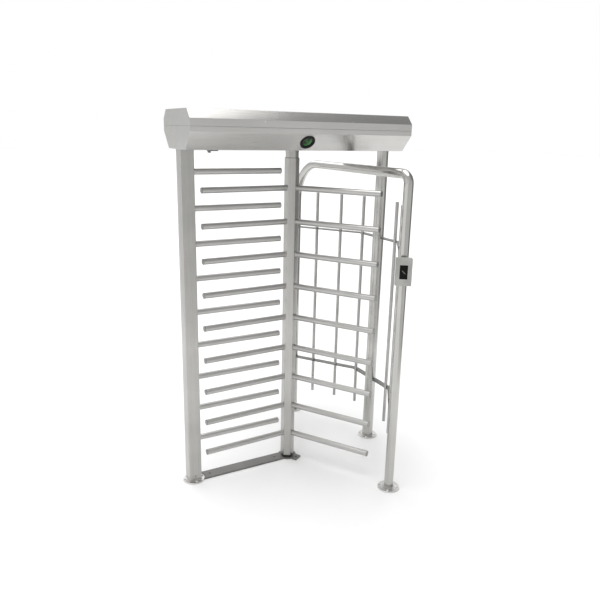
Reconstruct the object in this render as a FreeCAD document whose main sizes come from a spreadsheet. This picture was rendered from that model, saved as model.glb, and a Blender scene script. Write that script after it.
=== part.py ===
import FreeCAD, Part
import math
import os
import re

import Sketcher

# Full height turnstile. The origin is on the floor under the rotor's axis. X runs along the roof
# beam from the square comb post towards the round post, Y from the entry side to the exit side and
# Z up. Every length is in millimetres and every angle in degrees.

os.makedirs("parts", exist_ok=True)
doc = FreeCAD.newDocument("FullHeightTurnstile")

# Driving dimensions: alias, value and what the size is.
SIZES = (
    ("total_height", 2300, "floor to the flat top of the roof beam"),
    ("header_length", 1456, "roof beam, end plate to end plate"),
    ("header_height", 216, "roof beam, bottom to top"),
    ("header_width", 462, "roof beam across its upright sides"),
    ("header_top_width", 370, "flat top of the roof beam"),
    ("header_bottom_width", 292, "flat bottom of the roof beam"),
    ("header_top_drop", 51, "top face down to the upright side"),
    ("header_side_height", 69, "upright side of the roof beam"),
    ("header_seam_drop", 91, "top face down to the joint between cover and base"),
    ("sheet_wall", 2, "sheet of the cover and the base"),
    ("seal_thickness", 1.6, "rubber strip between cover and base"),
    ("seal_width", 12, "width of the rubber strip"),
    ("seal_inset", 0.6, "strip set back from the outer face"),
    ("cover_screw_spread", 580, "between the two cover screws of one side"),
    ("cover_screw_drop", 58, "top face down to the cover screws"),
    ("cover_screw_dia", 6, "shank of a cover screw"),
    ("cover_screw_head_dia", 13, "head of a cover screw"),
    ("cover_screw_head_height", 3, "head of a cover screw"),
    ("cover_screw_end", 4, "cover screw's end beyond the tab that it holds in"),
    ("bracket_thickness", 4, "tab that the cover screws hold in"),
    ("bracket_length", 60, "length of that tab"),
    ("bracket_height", 64, "height of that tab"),
    ("plate_end_gap", 8, "end of the mechanism plate to the outer end of the roof beam"),
    ("plate_width", 260, "mechanism plate, front to rear"),
    ("plate_thickness", 10, "mechanism plate"),
    ("plate_rise", 26, "bottom of the roof beam up to the mechanism plate"),
    ("spacer_dia", 22, "spacer between base and mechanism plate"),
    ("spacer_spread_x", 900, "between the spacers along the beam"),
    ("spacer_spread_y", 200, "between the spacers across the beam"),
    ("post_inset", 46, "axis of a post in from the end of the roof beam"),
    ("square_post_width", 80, "side of the square post"),
    ("square_post_wall", 4, "wall of the square post"),
    ("square_post_corner", 4, "corner radius of the square post"),
    ("round_post_dia", 76.1, "round post"),
    ("round_post_wall", 3, "wall of the round post"),
    ("post_head_height", 14, "plug in the top of each post"),
    ("post_bolt_dia", 12, "bolt that holds the mechanism plate on a post"),
    ("post_bolt_spread", 40, "between the two bolts of one post"),
    ("bolt_head_dia", 20, "head of such a bolt across its corners"),
    ("bolt_head_height", 7.5, "head of such a bolt"),
    ("flange_dia", 140, "floor flange of a post or portal leg"),
    ("flange_thickness", 8, "floor flange"),
    ("flange_pcd", 110, "circle of the four anchor holes"),
    ("anchor_hole_dia", 12, "anchor hole in a flange"),
    ("anchor_sink_dia", 19, "countersink of an anchor hole"),
    ("anchor_sink_depth", 3.5, "depth of that countersink"),
    ("post_screw_height", 41, "grub screw in the foot of the square post"),
    ("post_screw_dia", 8, "grub screw in the foot of the square post"),
    ("post_screw_depth", 1, "grub screw's end below the face of the post"),
    ("post_screw_socket", 1.5, "depth of its hexagon socket"),
    ("portal_setback", 285, "axis of the round post back to the plane of the portal"),
    ("portal_spread", 1300, "between the axes of the portal's legs"),
    ("portal_drop", 109, "bottom of the roof beam down to the axis of the portal's top run"),
    ("portal_dia", 57, "portal tube"),
    ("portal_wall", 2.5, "wall of the portal tube"),
    ("portal_front_bend", 55, "centre line radius of the portal's front bend"),
    ("portal_rear_bend", 280, "centre line radius of the portal's rear bend"),
    ("bar_corner_y", 233, "corner of the guard bars' line"),
    ("bar_pitch", 190, "guard bars along their line, counted from the round post"),
    ("bar_dia", 22, "guard bar"),
    ("bar_bottom", 198, "lower end of the guard bars above the floor"),
    ("bar_top_drop", 320, "bottom of the roof beam down to the upper end of the guard bars"),
    ("hoop_offset", 16, "axis of the round post out to the middle of the hoops' long run"),
    ("hoop_corner_y", 225, "corner of the hoops' middle line"),
    ("hoop_width", 44, "flat hoop across"),
    ("hoop_thickness", 6, "flat hoop"),
    ("hoop_low_height", 452, "underside of the lower hoop above the floor"),
    ("hoop_high_height", 1496, "underside of the upper hoop above the floor"),
    ("weld_gap", 0.1, "fit of a welded joint against a curved face"),
    ("arm_count", 9, "arms in a wing and in the comb"),
    ("arm_headroom", 20.7, "bottom of the roof beam down to where a tenth arm would be"),
    ("arm_low", 185, "axis of a wing's lowest arm above the floor"),
    ("arm_dia", 36, "arm of a wing and of the comb"),
    ("arm_wall", 2, "wall of an arm"),
    ("arm_cap", 4, "disc of an arm's end cap"),
    ("arm_plug", 14, "plug of an arm's end cap"),
    ("cap_fit", 0.15, "radial fit of a cap's plug"),
    ("wing_clearance", 43.95, "tip of a wing to the round post as it passes"),
    ("comb_gap", 77, "rotor's axis to the tips of the comb"),
    ("home_angle", 2.4, "the wings' play past the plane of the comb at rest"),
    ("column_flats", 80, "six sided column across its flats"),
    ("column_wall", 4.5, "wall of the column"),
    ("column_bottom", 22, "lower end of the column above the floor"),
    ("column_clearance", 49, "bottom of the roof beam down to the top of the column"),
    ("spigot_fit", 0.2, "fit of the spigot in the column"),
    ("spigot_depth", 70, "spigot inside the column"),
    ("spigot_rise", 14, "spigot above the bottom of the roof beam"),
    ("shaft_dia", 50, "drive shaft"),
    ("shaft_rise", 96, "mechanism plate up to the end of the drive shaft"),
    ("shaft_fit", 0.05, "radial fit of what sits on the drive shaft"),
    ("hub_clearance", 7, "opening in the base around the spigot"),
    ("sill_width", 80, "floor sill between the square post and the rotor"),
    ("foot_thickness", 12, "floor sill and rotor foot"),
    ("foot_disc_dia", 120, "middle disc of the rotor foot"),
    ("foot_leg_width", 60, "short leg of the rotor foot"),
    ("foot_leg_reach", 92, "rotor's axis to the end of a short leg"),
    ("foot_hole_reach", 74, "rotor's axis to the anchor hole of a short leg"),
    ("sill_hole_inset", 40, "end of the sill to its anchor hole"),
    ("pivot_dia", 30, "pivot pin in the rotor foot"),
    ("pivot_top", 70, "upper end of the pivot pin above the floor"),
    ("pivot_collar_dia", 54, "collar of the pivot pin"),
    ("pivot_collar_height", 7, "collar of the pivot pin"),
    ("bush_wall", 5, "lower bush"),
    ("bush_flange_dia", 50, "flange of the lower bush"),
    ("bush_flange", 2.7, "flange of the lower bush"),
    ("bush_height", 36, "lower bush"),
    ("run_fit", 0.06, "radial fit of a turning pair"),
    ("plug_height", 40, "solid plug in the foot of the column"),
    ("pin_clearance", 2, "room in that plug around the pivot pin"),
    ("housing_dia", 112, "top bearing housing"),
    ("housing_flange_dia", 150, "flange of that housing"),
    ("housing_flange", 10, "flange of that housing"),
    ("housing_height", 36, "top bearing housing"),
    ("bearing_seat", 10, "shoulder under the bearing above the mechanism plate"),
    ("bearing_bore_step", 80, "opening below the bearing"),
    ("bearing_dia", 90, "outer ring, outside"),
    ("bearing_groove_dia", 68, "circle of the balls' centres"),
    ("bearing_ring_gap", 6, "between the inner and the outer ring"),
    ("bearing_width", 20, "both rings"),
    ("ball_count", 14, "balls in the bearing"),
    ("ball_dia", 10, "ball"),
    ("ball_fit", 0.15, "groove around a ball"),
    ("gear_module", 2.5, "teeth of the gear pair"),
    ("gear_teeth", 72, "teeth of the main gear"),
    ("pinion_teeth", 24, "teeth of the damper pinion"),
    ("gear_backlash", 0.3, "play between the teeth"),
    ("gear_width", 12, "width of the teeth"),
    ("gear_rise", 40, "mechanism plate up to the teeth"),
    ("gear_hub_dia", 60, "hub of the main gear and of the ratchet wheel"),
    ("ratchet_dia", 150, "ratchet wheel"),
    ("ratchet_rise", 60, "mechanism plate up to the ratchet wheel's teeth"),
    ("ratchet_width", 10, "ratchet wheel"),
    ("ratchet_notches", 12, "notches in the ratchet wheel"),
    ("notch_width", 16, "notch in the ratchet wheel"),
    ("notch_depth", 14, "notch in the ratchet wheel"),
    ("nut_flats", 60, "shaft nut across its flats"),
    ("nut_height", 12, "shaft nut"),
    ("damper_dia", 70, "rotary damper"),
    ("damper_height", 32, "rotary damper"),
    ("pinion_shaft_dia", 12, "shaft of the damper pinion"),
    ("pinion_shaft_depth", 18, "that shaft inside the damper"),
    ("pinion_shaft_gap", 1, "end of that shaft to the bottom of its bore"),
    ("pawl_thickness", 9, "pawl"),
    ("pawl_reach", 70, "pawl pivot to the middle of its nose"),
    ("pawl_nose", 10, "width of a pawl's nose"),
    ("pawl_nose_length", 8, "nose below the pawl's arm"),
    ("pawl_arm_width", 10, "arm of a pawl behind its nose"),
    ("pawl_arm_length", 45, "straight outer edge of that arm"),
    ("pawl_neck", 22, "middle of the nose to where the arm's inner edge rises"),
    ("pawl_hub_swell", 2, "hub of a pawl wider on its outer side"),
    ("pawl_nose_gap", 3, "pawl's nose to the ratchet wheel at rest"),
    ("pawl_tail", 40, "pawl pivot to the pin in its tail"),
    ("pawl_angle", 150, "place of a pawl's nose on the ratchet wheel"),
    ("pawl_pin_dia", 12, "pivot pin of a pawl"),
    ("pawl_pin_head", 18, "head of a pivot pin"),
    ("pawl_pin_head_height", 3, "head of a pivot pin"),
    ("tail_pin_dia", 6, "pin in a pawl's tail"),
    ("tail_pin_height", 10, "that pin above the pawl"),
    ("spring_wire", 2, "wire of a pawl spring"),
    ("spring_dia", 18, "pawl spring, wire centre to wire centre"),
    ("spring_turns", 10, "turns of a pawl spring"),
    ("spring_gap", 0.3, "play at each end of a pawl spring"),
    ("solenoid_width", 44, "lock solenoid"),
    ("solenoid_length", 55, "lock solenoid"),
    ("solenoid_height", 40, "lock solenoid"),
    ("solenoid_gap", 30, "tail pin to the solenoid's face"),
    ("stand_width", 26, "stand under a solenoid"),
    ("stand_length", 32, "stand under a solenoid"),
    ("stand_shift", 3, "stand nearer to the pawl's tail than the coil"),
    ("plunger_dia", 10, "solenoid plunger"),
    ("plunger_grip", 40, "plunger inside the solenoid"),
    ("plunger_end_gap", 2, "end of the plunger to the end of its bore"),
    ("plunger_rise", 77, "mechanism plate up to the plunger's axis"),
    ("blade_thickness", 6, "flat end of a plunger"),
    ("blade_width", 18, "flat end of a plunger"),
    ("blade_length", 30, "flat end of a plunger"),
    ("blade_shift", 7, "middle of the flat end past the tail pin"),
    ("slot_length", 10, "slot in a plunger's flat end"),
    ("slot_play", 0.4, "slot wider than the tail pin"),
    ("lock_offset", 144, "axis of the square post to the override lock"),
    ("lock_dia", 19, "body of the override lock"),
    ("lock_plate_width", 26, "oblong plate of the override lock under the roof beam"),
    ("lock_plate_reach", 41, "axis of the lock to the centre of that plate's far end"),
    ("lock_plate_thickness", 11, "plate of the override lock"),
    ("lock_nose", 9, "body of the override lock below its plate"),
    ("lock_height", 18, "body of the override lock above the bottom of the beam"),
    ("key_plug_dia", 10, "turning plug of the override lock"),
    ("key_cam_length", 32, "cam on the plug, axis to end"),
    ("key_cam_width", 12, "cam on the plug"),
    ("key_cam_thickness", 3, "cam on the plug"),
    ("key_cam_gap", 1, "body of the lock to the cam"),
    ("key_slot_width", 1.6, "slot for the key"),
    ("key_slot_length", 6, "slot for the key"),
    ("key_slot_depth", 5, "slot for the key"),
    ("cable_hole_dia", 25, "cable entry in the bottom of the roof beam"),
    ("cable_hole_offset", 122, "axis of the round post to the cable entry"),
    ("lamp_x", 0, "indicator lamps along the beam"),
    ("lamp_rise", 49, "bottom of the beam up to the middle of a lamp"),
    ("lamp_dia", 94, "black ring of a lamp"),
    ("lamp_ring", 5, "thickness of that ring"),
    ("lamp_opening_dia", 62, "opening of that ring"),
    ("lamp_neck_dia", 84, "neck of the ring through the sheet"),
    ("lamp_neck_wall", 4, "wall of that neck"),
    ("lamp_neck_depth", 16, "neck below the outer face"),
    ("lens_thickness", 4, "green lens"),
    ("reader_angle", -125, "way that the reader faces, seen from above"),
    ("reader_height", 1432, "middle of the reader above the floor"),
    ("reader_width", 95, "reader box"),
    ("reader_tall", 160, "reader box"),
    ("reader_depth", 40, "reader box"),
    ("reader_wall", 3, "wall of the reader box"),
    ("window_width", 46, "window of the reader"),
    ("window_tall", 82, "window of the reader"),
    ("window_thickness", 3, "window pane of the reader"),
    ("window_rim", 5, "pane wider than the opening, each side"),
    ("window_inset", 0.5, "pane set back from the face of the reader"),
    ("saddle_width", 50, "saddle between the leg and the reader"),
    ("saddle_tall", 110, "saddle between the leg and the reader"),
    ("saddle_depth", 10, "leg's surface to the back of the reader"),
    ("saddle_wrap", 12, "saddle around the sides of the leg"),
    ("reader_screw_dia", 5, "screw in the back of the reader"),
    ("reader_screw_head_dia", 9, "head of such a screw"),
    ("reader_screw_head_height", 3, "head of such a screw"),
    ("reader_screw_end", 2, "end of such a screw short of the leg"),
    ("reader_screw_spread", 70, "between the two reader screws"),
    ("board_offset", 252, "axis of the round post to the middle of the control board"),
    ("board_length", 180, "control board"),
    ("board_width", 120, "control board"),
    ("board_thickness", 1.6, "control board"),
    ("standoff_height", 12, "mechanism plate to the control board"),
    ("standoff_dia", 8, "standoff of the control board"),
    ("supply_offset", 162, "axis of the square post to the middle of the power supply"),
    ("supply_length", 159, "power supply"),
    ("supply_width", 97, "power supply"),
    ("supply_height", 38, "power supply"),
)
ALIASES = {alias for alias, number, note in SIZES}

sheet = doc.addObject("Spreadsheet::Sheet", "Sizes")
for row, (alias, number, note) in enumerate(SIZES, start=1):
    sheet.set(f"A{row}", note)
    sheet.set(f"B{row}", str(number))
    sheet.setAlias(f"B{row}", alias)
doc.recompute()

# Lengths that follow from the driving ones.
HEADER_BOTTOM = "(total_height - header_height)"
HEADER_SIDE_TOP = "(total_height - header_top_drop)"
HEADER_SIDE_BOTTOM = "(total_height - header_top_drop - header_side_height)"
HEADER_SEAM = "(total_height - header_seam_drop)"
LOW_SLOPE_RUN = "((header_width - header_bottom_width) / 2)"
LOW_SLOPE_DROP = "(header_height - header_top_drop - header_side_height)"
TOP_SLOPE_RUN = "((header_width - header_top_width) / 2)"
PLATE_BOTTOM = f"({HEADER_BOTTOM} + plate_rise)"
PLATE_TOP = f"({HEADER_BOTTOM} + plate_rise + plate_thickness)"
SHAFT_TOP = f"({PLATE_TOP} + shaft_rise)"
SPIGOT_FLATS = "(column_flats - 2 * column_wall - 2 * spigot_fit)"
PLATE_LENGTH = "(header_length - 2 * plate_end_gap)"
RIGHT_POST_X = "(header_length / 2 - post_inset)"
LEFT_POST_X = f"(-{RIGHT_POST_X})"
PORTAL_X = f"({RIGHT_POST_X} - portal_setback)"
PORTAL_TOP = f"({HEADER_BOTTOM} - portal_drop)"
BAR_TOP = f"({HEADER_BOTTOM} - bar_top_drop)"
ARM_PITCH = f"(({HEADER_BOTTOM} - arm_headroom - arm_low) / arm_count)"
WING_RADIUS = f"({RIGHT_POST_X} - round_post_dia / 2 - wing_clearance)"
COLUMN_TOP = f"({HEADER_BOTTOM} - column_clearance)"
BEARING_BOTTOM = f"({PLATE_TOP} + bearing_seat)"
PAWL_BOTTOM = f"({PLATE_TOP} + ratchet_rise + (ratchet_width - pawl_thickness) / 2)"
GEAR_CENTRES = "(gear_module * (gear_teeth + pinion_teeth) / 2)"

NODES = {}


def words(expression):
    """Point each alias in an expression at its cell in the sheet."""
    return re.sub(
        r"[a-z][a-z0-9_]*",
        lambda found: f"Sizes.{found.group()}" if found.group() in ALIASES else found.group(),
        str(expression),
    )


def value(expression):
    """Give an expression's number now."""
    return float(sheet.evalExpression(words(expression)))


def bind(item, **properties):
    """Bind properties of an object to expressions."""
    for name, expression in properties.items():
        item.setExpression(name, words(expression))


def place(item, x="0", y="0", z="0", axis=(0, 0, 1), turn=None):
    """Bind an object's place, and its turn about an axis, to the sheet."""
    if turn is not None:
        quarter = FreeCAD.Rotation(FreeCAD.Vector(*axis), 90)
        item.Placement = FreeCAD.Placement(FreeCAD.Vector(), quarter)
        item.setExpression("Placement.Rotation.Angle", words(turn))
    for letter, expression in zip("xyz", (x, y, z)):
        item.setExpression(f"Placement.Base.{letter}", words(expression))
    return item


def cylinder(name, diameter, height, **where):
    item = doc.addObject("Part::Cylinder", name)
    bind(item, Radius=f"({diameter}) / 2", Height=height)
    return place(item, **where)


def block(name, length, width, height, **where):
    """Make a box that is centred on its place in X and Y and stands on it in Z."""
    item = doc.addObject("Part::Box", name)
    bind(item, Length=length, Width=width, Height=height)
    x = where.pop("x", "0")
    y = where.pop("y", "0")
    return place(item, x=f"{x} - ({length}) / 2", y=f"{y} - ({width}) / 2", **where)


def hexagon(name, flats, height, **where):
    """Make a six sided prism whose flats face X and every 60 degrees from there."""
    item = doc.addObject("Part::Prism", name)
    item.Polygon = 6
    bind(item, Circumradius=f"({flats}) / 2 / cos(30deg)", Height=height)
    return place(item, turn="30deg", **where)


def cut(name, base, *tools, **where):
    item = doc.addObject("Part::Cut", name)
    item.Base = base
    item.Tool = tools[0] if len(tools) == 1 else group(f"{name}Tools", tools)
    return place(item, **where)


def fuse(name, *members, **where):
    item = doc.addObject("Part::MultiFuse", name)
    item.Shapes = list(members)
    return place(item, **where)


def group(name, members, **where):
    """Keep several separate solids together."""
    item = doc.addObject("Part::Compound", name)
    item.Links = list(members)
    return place(item, **where)


def tube(name, outer, inner, height, **where):
    outside = cylinder(f"{name}Outside", outer, height)
    inside = cylinder(f"{name}Inside", inner, height)
    return cut(name, outside, inside, **where)


def new_body(name, **where):
    return place(doc.addObject("PartDesign::Body", name), **where)


def new_sketch(body, plane, name):
    """Lay a sketch on one of the body's own origin planes."""
    sketch = body.newObject("Sketcher::SketchObject", name)
    support = next(item for item in body.Origin.OriginFeatures if item.Role == plane)
    sketch.AttachmentSupport = (support, [""])
    sketch.MapMode = "FlatFace"
    return sketch


def draw_outline(sketch, corners):
    """Draw a closed outline whose corners are bound to expressions."""
    numbers = [FreeCAD.Vector(value(across), value(up), 0) for across, up in corners]
    first = sketch.GeometryCount
    for index, start in enumerate(numbers):
        end = numbers[(index + 1) % len(numbers)]
        sketch.addGeometry(Part.LineSegment(start, end), False)
    for index, (across, up) in enumerate(corners):
        line = first + index
        following = first + (index + 1) % len(corners)
        sketch.addConstraint(Sketcher.Constraint("Coincident", line, 2, following, 1))
        for kind, number, expression in (
            ("DistanceX", numbers[index].x, across),
            ("DistanceY", numbers[index].y, up),
        ):
            constraint = sketch.addConstraint(Sketcher.Constraint(kind, -1, 1, line, 1, number))
            sketch.setExpression(f"Constraints[{constraint}]", words(expression))


def draw_circle(sketch, across, up, diameter):
    """Draw a circle whose centre and diameter are bound to expressions."""
    centre = FreeCAD.Vector(value(across), value(up), 0)
    radius = value(diameter) / 2
    circle = sketch.addGeometry(Part.Circle(centre, FreeCAD.Vector(0, 0, 1), radius), False)
    for kind, number, expression in (("DistanceX", centre.x, across), ("DistanceY", centre.y, up)):
        constraint = sketch.addConstraint(Sketcher.Constraint(kind, -1, 1, circle, 3, number))
        sketch.setExpression(f"Constraints[{constraint}]", words(expression))
    constraint = sketch.addConstraint(Sketcher.Constraint("Diameter", circle, 2 * radius))
    sketch.setExpression(f"Constraints[{constraint}]", words(diameter))


def pad(body, sketch, length, both_ways=False):
    item = body.newObject("PartDesign::Pad", f"{sketch.Name}Pad")
    item.Profile = sketch
    item.Midplane = both_ways
    bind(item, Length=length)
    doc.recompute()
    return item


def pocket(body, sketch, length, both_ways=False):
    """Cut a sketch out of a body, and stop if it cut nothing."""
    before = body.Shape.Volume
    item = body.newObject("PartDesign::Pocket", f"{sketch.Name}Pocket")
    item.Profile = sketch
    item.Midplane = both_ways
    item.Reversed = True
    bind(item, Length=length)
    doc.recompute()
    if body.Shape.Volume >= before:
        raise RuntimeError(f"{item.Name} cuts nothing")
    return item


def node(item):
    """Keep an object as one named piece of the turnstile."""
    item.Label = item.Name
    NODES[item.Label] = item
    return item


def mirrored(corners):
    """Complete the left half of an outline that is the same on both sides."""
    return corners + [(f"-({across})", up) for across, up in reversed(corners)]


# Floor flanges: a round disc under each post and each portal leg, with four countersunk anchor
# holes. Those of the square post stand off the middles of its sides.
def floor_flange(name, first_hole=45, **where):
    body = new_body(f"{name}Disc")
    outline = new_sketch(body, "XY_Plane", f"{name}Outline")
    draw_circle(outline, "0", "0", "flange_dia")
    pad(body, outline, "flange_thickness")
    holes = new_sketch(body, "XY_Plane", f"{name}Holes")
    cones = []
    for quarter in range(4):
        across = f"flange_pcd / 2 * cos({first_hole + 90 * quarter}deg)"
        up = f"flange_pcd / 2 * sin({first_hole + 90 * quarter}deg)"
        draw_circle(holes, across, up, "anchor_hole_dia")
        cone = doc.addObject("Part::Cone", f"{name}Sink{quarter}")
        bind(
            cone, Radius1="anchor_hole_dia / 2", Radius2="anchor_sink_dia / 2",
            Height="anchor_sink_depth",
        )
        cones.append(place(cone, x=across, y=up, z="flange_thickness - anchor_sink_depth"))
    pocket(body, holes, "flange_thickness")
    return cut(name, body, *cones, **where)


node(group("floor_flanges", [
    floor_flange("squarePostFlange", first_hole=0, x=LEFT_POST_X),
    floor_flange("roundPostFlange", x=RIGHT_POST_X),
    floor_flange("frontLegFlange", x=PORTAL_X, y="-portal_spread / 2"),
    floor_flange("rearLegFlange", x=PORTAL_X, y="portal_spread / 2"),
]))

# Square comb post: a rounded square tube from its flange up to the mechanism plate, with a grub
# screw in its foot.
POST_HEIGHT = f"({PLATE_BOTTOM} - flange_thickness)"
outside = block("squarePostOutside", "square_post_width", "square_post_width", POST_HEIGHT)
doc.recompute()
rounded = doc.addObject("Part::Fillet", "squarePostRounded")
rounded.Base = outside
rounded.Edges = [
    (index, value("square_post_corner"), value("square_post_corner"))
    for index, edge in enumerate(outside.Shape.Edges, start=1)
    if edge.BoundBox.ZLength > value("square_post_width")
]
inside_width = "square_post_width - 2 * square_post_wall"
inside = block("squarePostInside", inside_width, inside_width, POST_HEIGHT)
screw_hole = cylinder(
    "squarePostScrewHole", "post_screw_dia", "square_post_wall",
    y="-square_post_width / 2 + square_post_wall", z="post_screw_height - flange_thickness",
    axis=(1, 0, 0), turn="90deg",
)
node(cut("left_post", rounded, inside, screw_hole, x=LEFT_POST_X, z="flange_thickness"))
SCREW_LENGTH = "(square_post_wall - post_screw_depth)"
screw_body = cylinder(
    "postScrewBody", "post_screw_dia - 2 * shaft_fit", SCREW_LENGTH,
    axis=(1, 0, 0), turn="90deg",
)
screw_socket = hexagon("postScrewSocket", "post_screw_dia / 2", "post_screw_socket")
place(screw_socket, y=f"post_screw_socket - {SCREW_LENGTH}", axis=(1, 0, 0), turn="90deg")
node(cut(
    "post_grub_screw", screw_body, screw_socket,
    x=LEFT_POST_X, y="-square_post_width / 2 + square_post_wall", z="post_screw_height",
))

# Round post under the other end of the roof beam.
node(tube(
    "right_post", "round_post_dia", "round_post_dia - 2 * round_post_wall", POST_HEIGHT,
    x=RIGHT_POST_X, z="flange_thickness",
))

# Plugs in the tops of both posts take two bolts each through the mechanism plate.
HEAD_WIDTH = "(square_post_width - 2 * square_post_wall - 2 * weld_gap)"
HEAD_DIA = "(round_post_dia - 2 * round_post_wall - 2 * weld_gap)"


def post_bolts(name, dia, height, z):
    """Make the two bolt places of one post, across the beam."""
    return [
        cylinder(f"{name}{side}", dia, height, y=f"{side} * post_bolt_spread / 2", z=z)
        for side in (-1, 1)
    ]


square_head = cut(
    "squareHead", block("squareHeadBlock", HEAD_WIDTH, HEAD_WIDTH, "post_head_height"),
    *post_bolts("squareHeadHole", "post_bolt_dia", "post_head_height", "0"),
    x=LEFT_POST_X, z=f"{PLATE_BOTTOM} - post_head_height",
)
round_head = cut(
    "roundHead", cylinder("roundHeadDisc", HEAD_DIA, "post_head_height"),
    *post_bolts("roundHeadHole", "post_bolt_dia", "post_head_height", "0"),
    x=RIGHT_POST_X, z=f"{PLATE_BOTTOM} - post_head_height",
)
node(group("post_heads", [square_head, round_head]))
bolts = []
for post, post_x in (("left", LEFT_POST_X), ("right", RIGHT_POST_X)):
    for side in (-1, 1):
        name = f"{post}PostBolt{side}"
        shank = cylinder(
            f"{name}Shank", "post_bolt_dia - 2 * shaft_fit", "plate_thickness + post_head_height",
            z="-(plate_thickness + post_head_height)",
        )
        head = hexagon(f"{name}Head", "bolt_head_dia * cos(30deg)", "bolt_head_height")
        bolts.append(fuse(
            name, shank, head, x=post_x, y=f"{side} * post_bolt_spread / 2", z=PLATE_TOP,
        ))
node(group("plate_bolts", bolts))

# Portal: one tube bent twice, with a leg at each side of the walkway.
portal = new_body("portal_tube", x=PORTAL_X, y="-portal_spread / 2", z="flange_thickness")
route = new_sketch(portal, "YZ_Plane", "portalRoute")
rise = value(f"{PORTAL_TOP} - flange_thickness")
spread = value("portal_spread")
near = value("portal_front_bend")
far = value("portal_rear_bend")
out_of_sketch = FreeCAD.Vector(0, 0, 1)
near_bend = Part.Circle(FreeCAD.Vector(near, rise - near, 0), out_of_sketch, near)
far_bend = Part.Circle(FreeCAD.Vector(spread - far, rise - far, 0), out_of_sketch, far)
route.addGeometry([
    Part.LineSegment(FreeCAD.Vector(0, 0, 0), FreeCAD.Vector(0, rise - near, 0)),
    Part.ArcOfCircle(near_bend, math.pi / 2, math.pi),
    Part.LineSegment(FreeCAD.Vector(near, rise, 0), FreeCAD.Vector(spread - far, rise, 0)),
    Part.ArcOfCircle(far_bend, 0, math.pi / 2),
    Part.LineSegment(FreeCAD.Vector(spread, rise - far, 0), FreeCAD.Vector(spread, 0, 0)),
], False)
for constraint in (
    Sketcher.Constraint("Coincident", 0, 1, -1, 1),
    Sketcher.Constraint("Vertical", 0),
    Sketcher.Constraint("Tangent", 0, 2, 1, 2),
    Sketcher.Constraint("Tangent", 1, 1, 2, 1),
    Sketcher.Constraint("Horizontal", 2),
    Sketcher.Constraint("Tangent", 2, 2, 3, 2),
    Sketcher.Constraint("Tangent", 3, 1, 4, 1),
    Sketcher.Constraint("Vertical", 4),
    Sketcher.Constraint("PointOnObject", 4, 2, -1),
):
    route.addConstraint(constraint)
for constraint, expression in (
    (Sketcher.Constraint("Radius", 1, near), "portal_front_bend"),
    (Sketcher.Constraint("Radius", 3, far), "portal_rear_bend"),
    (Sketcher.Constraint("DistanceX", 0, 1, 4, 2, spread), "portal_spread"),
    (Sketcher.Constraint("DistanceY", -1, 1, 2, 1, rise), f"{PORTAL_TOP} - flange_thickness"),
):
    index = route.addConstraint(constraint)
    route.setExpression(f"Constraints[{index}]", words(expression))
ring = new_sketch(portal, "XY_Plane", "portalRing")
draw_circle(ring, "0", "0", "portal_dia")
draw_circle(ring, "0", "0", "portal_dia - 2 * portal_wall")
doc.recompute()
pipe = portal.newObject("PartDesign::AdditivePipe", "portalPipe")
pipe.Profile = ring
pipe.Spine = (route, [f"Edge{edge}" for edge in range(1, 6)])
doc.recompute()
node(portal)

# Guard: vertical bars on a bent line from one portal leg past the round post to the other leg.
LEG_X = value(PORTAL_X)
LEG_Y = value("portal_spread / 2")
CORNER_X = value(RIGHT_POST_X)
CORNER_Y = value("bar_corner_y")
SLANT = math.hypot(CORNER_X - LEG_X, LEG_Y - CORNER_Y)


def guard_point(along):
    """Give the place on the bars' line at a distance from the round post, rear side."""
    if along <= CORNER_Y:
        return CORNER_X, along
    share = (along - CORNER_Y) / SLANT
    return CORNER_X + share * (LEG_X - CORNER_X), CORNER_Y + share * (LEG_Y - CORNER_Y)


BAR_PLACES = []
SLANT_LENGTH = "sqrt(portal_setback ^ 2 + (portal_spread / 2 - bar_corner_y) ^ 2)"
bars = []
bar_count = int((CORNER_Y + SLANT - value("portal_dia")) // value("bar_pitch"))
for step in range(1, bar_count + 1):
    along = f"({step} * bar_pitch - bar_corner_y)"
    BAR_PLACES.append(guard_point(step * value("bar_pitch")))
    if BAR_PLACES[-1][0] == CORNER_X:
        bar_x = RIGHT_POST_X
        bar_y = f"{step} * bar_pitch"
    else:
        bar_x = f"{RIGHT_POST_X} - portal_setback * {along} / {SLANT_LENGTH}"
        bar_y = f"bar_corner_y + (portal_spread / 2 - bar_corner_y) * {along} / {SLANT_LENGTH}"
    for side in (-1, 1):
        bars.append(cylinder(
            f"guardBar{step}_{side}", "bar_dia", f"{BAR_TOP} - bar_bottom",
            x=bar_x, y=f"{side} * ({bar_y})", z="bar_bottom",
        ))
node(group("guard_bars", bars))


# Hoops: flat bars with mitred corners. They end on the portal's legs and on the round post, and the
# guard bars are let into them.
HOOP_X = value(f"{RIGHT_POST_X} + hoop_offset")
HOOP_Y = value("hoop_corner_y")
HOOP_TURN = math.atan2(HOOP_X - LEG_X, LEG_Y - HOOP_Y)


def hoop_corner(away):
    """Give the hoop's corner at a distance outside its middle line."""
    return HOOP_X + away, HOOP_Y + away * math.tan(HOOP_TURN / 2)


def hoop_end(away):
    """Give the end of the hoop's slanted run, level with the portal leg's axis."""
    return LEG_X + away * math.cos(HOOP_TURN), LEG_Y + away * math.sin(HOOP_TURN)


def flat_run(corners, bottom):
    """Make one straight run of a hoop from its four corners."""
    points = [FreeCAD.Vector(x, y, bottom) for x, y in corners]
    face = Part.Face(Part.makePolygon(points + points[:1]))
    return face.extrude(FreeCAD.Vector(0, 0, value("hoop_thickness")))


def upright_room(x, y, radius):
    """Make the room that an upright tube or bar takes in a hoop."""
    room = Part.makeCylinder(radius + value("weld_gap"), value("total_height"))
    return room.translated(FreeCAD.Vector(x, y, 0))


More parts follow.
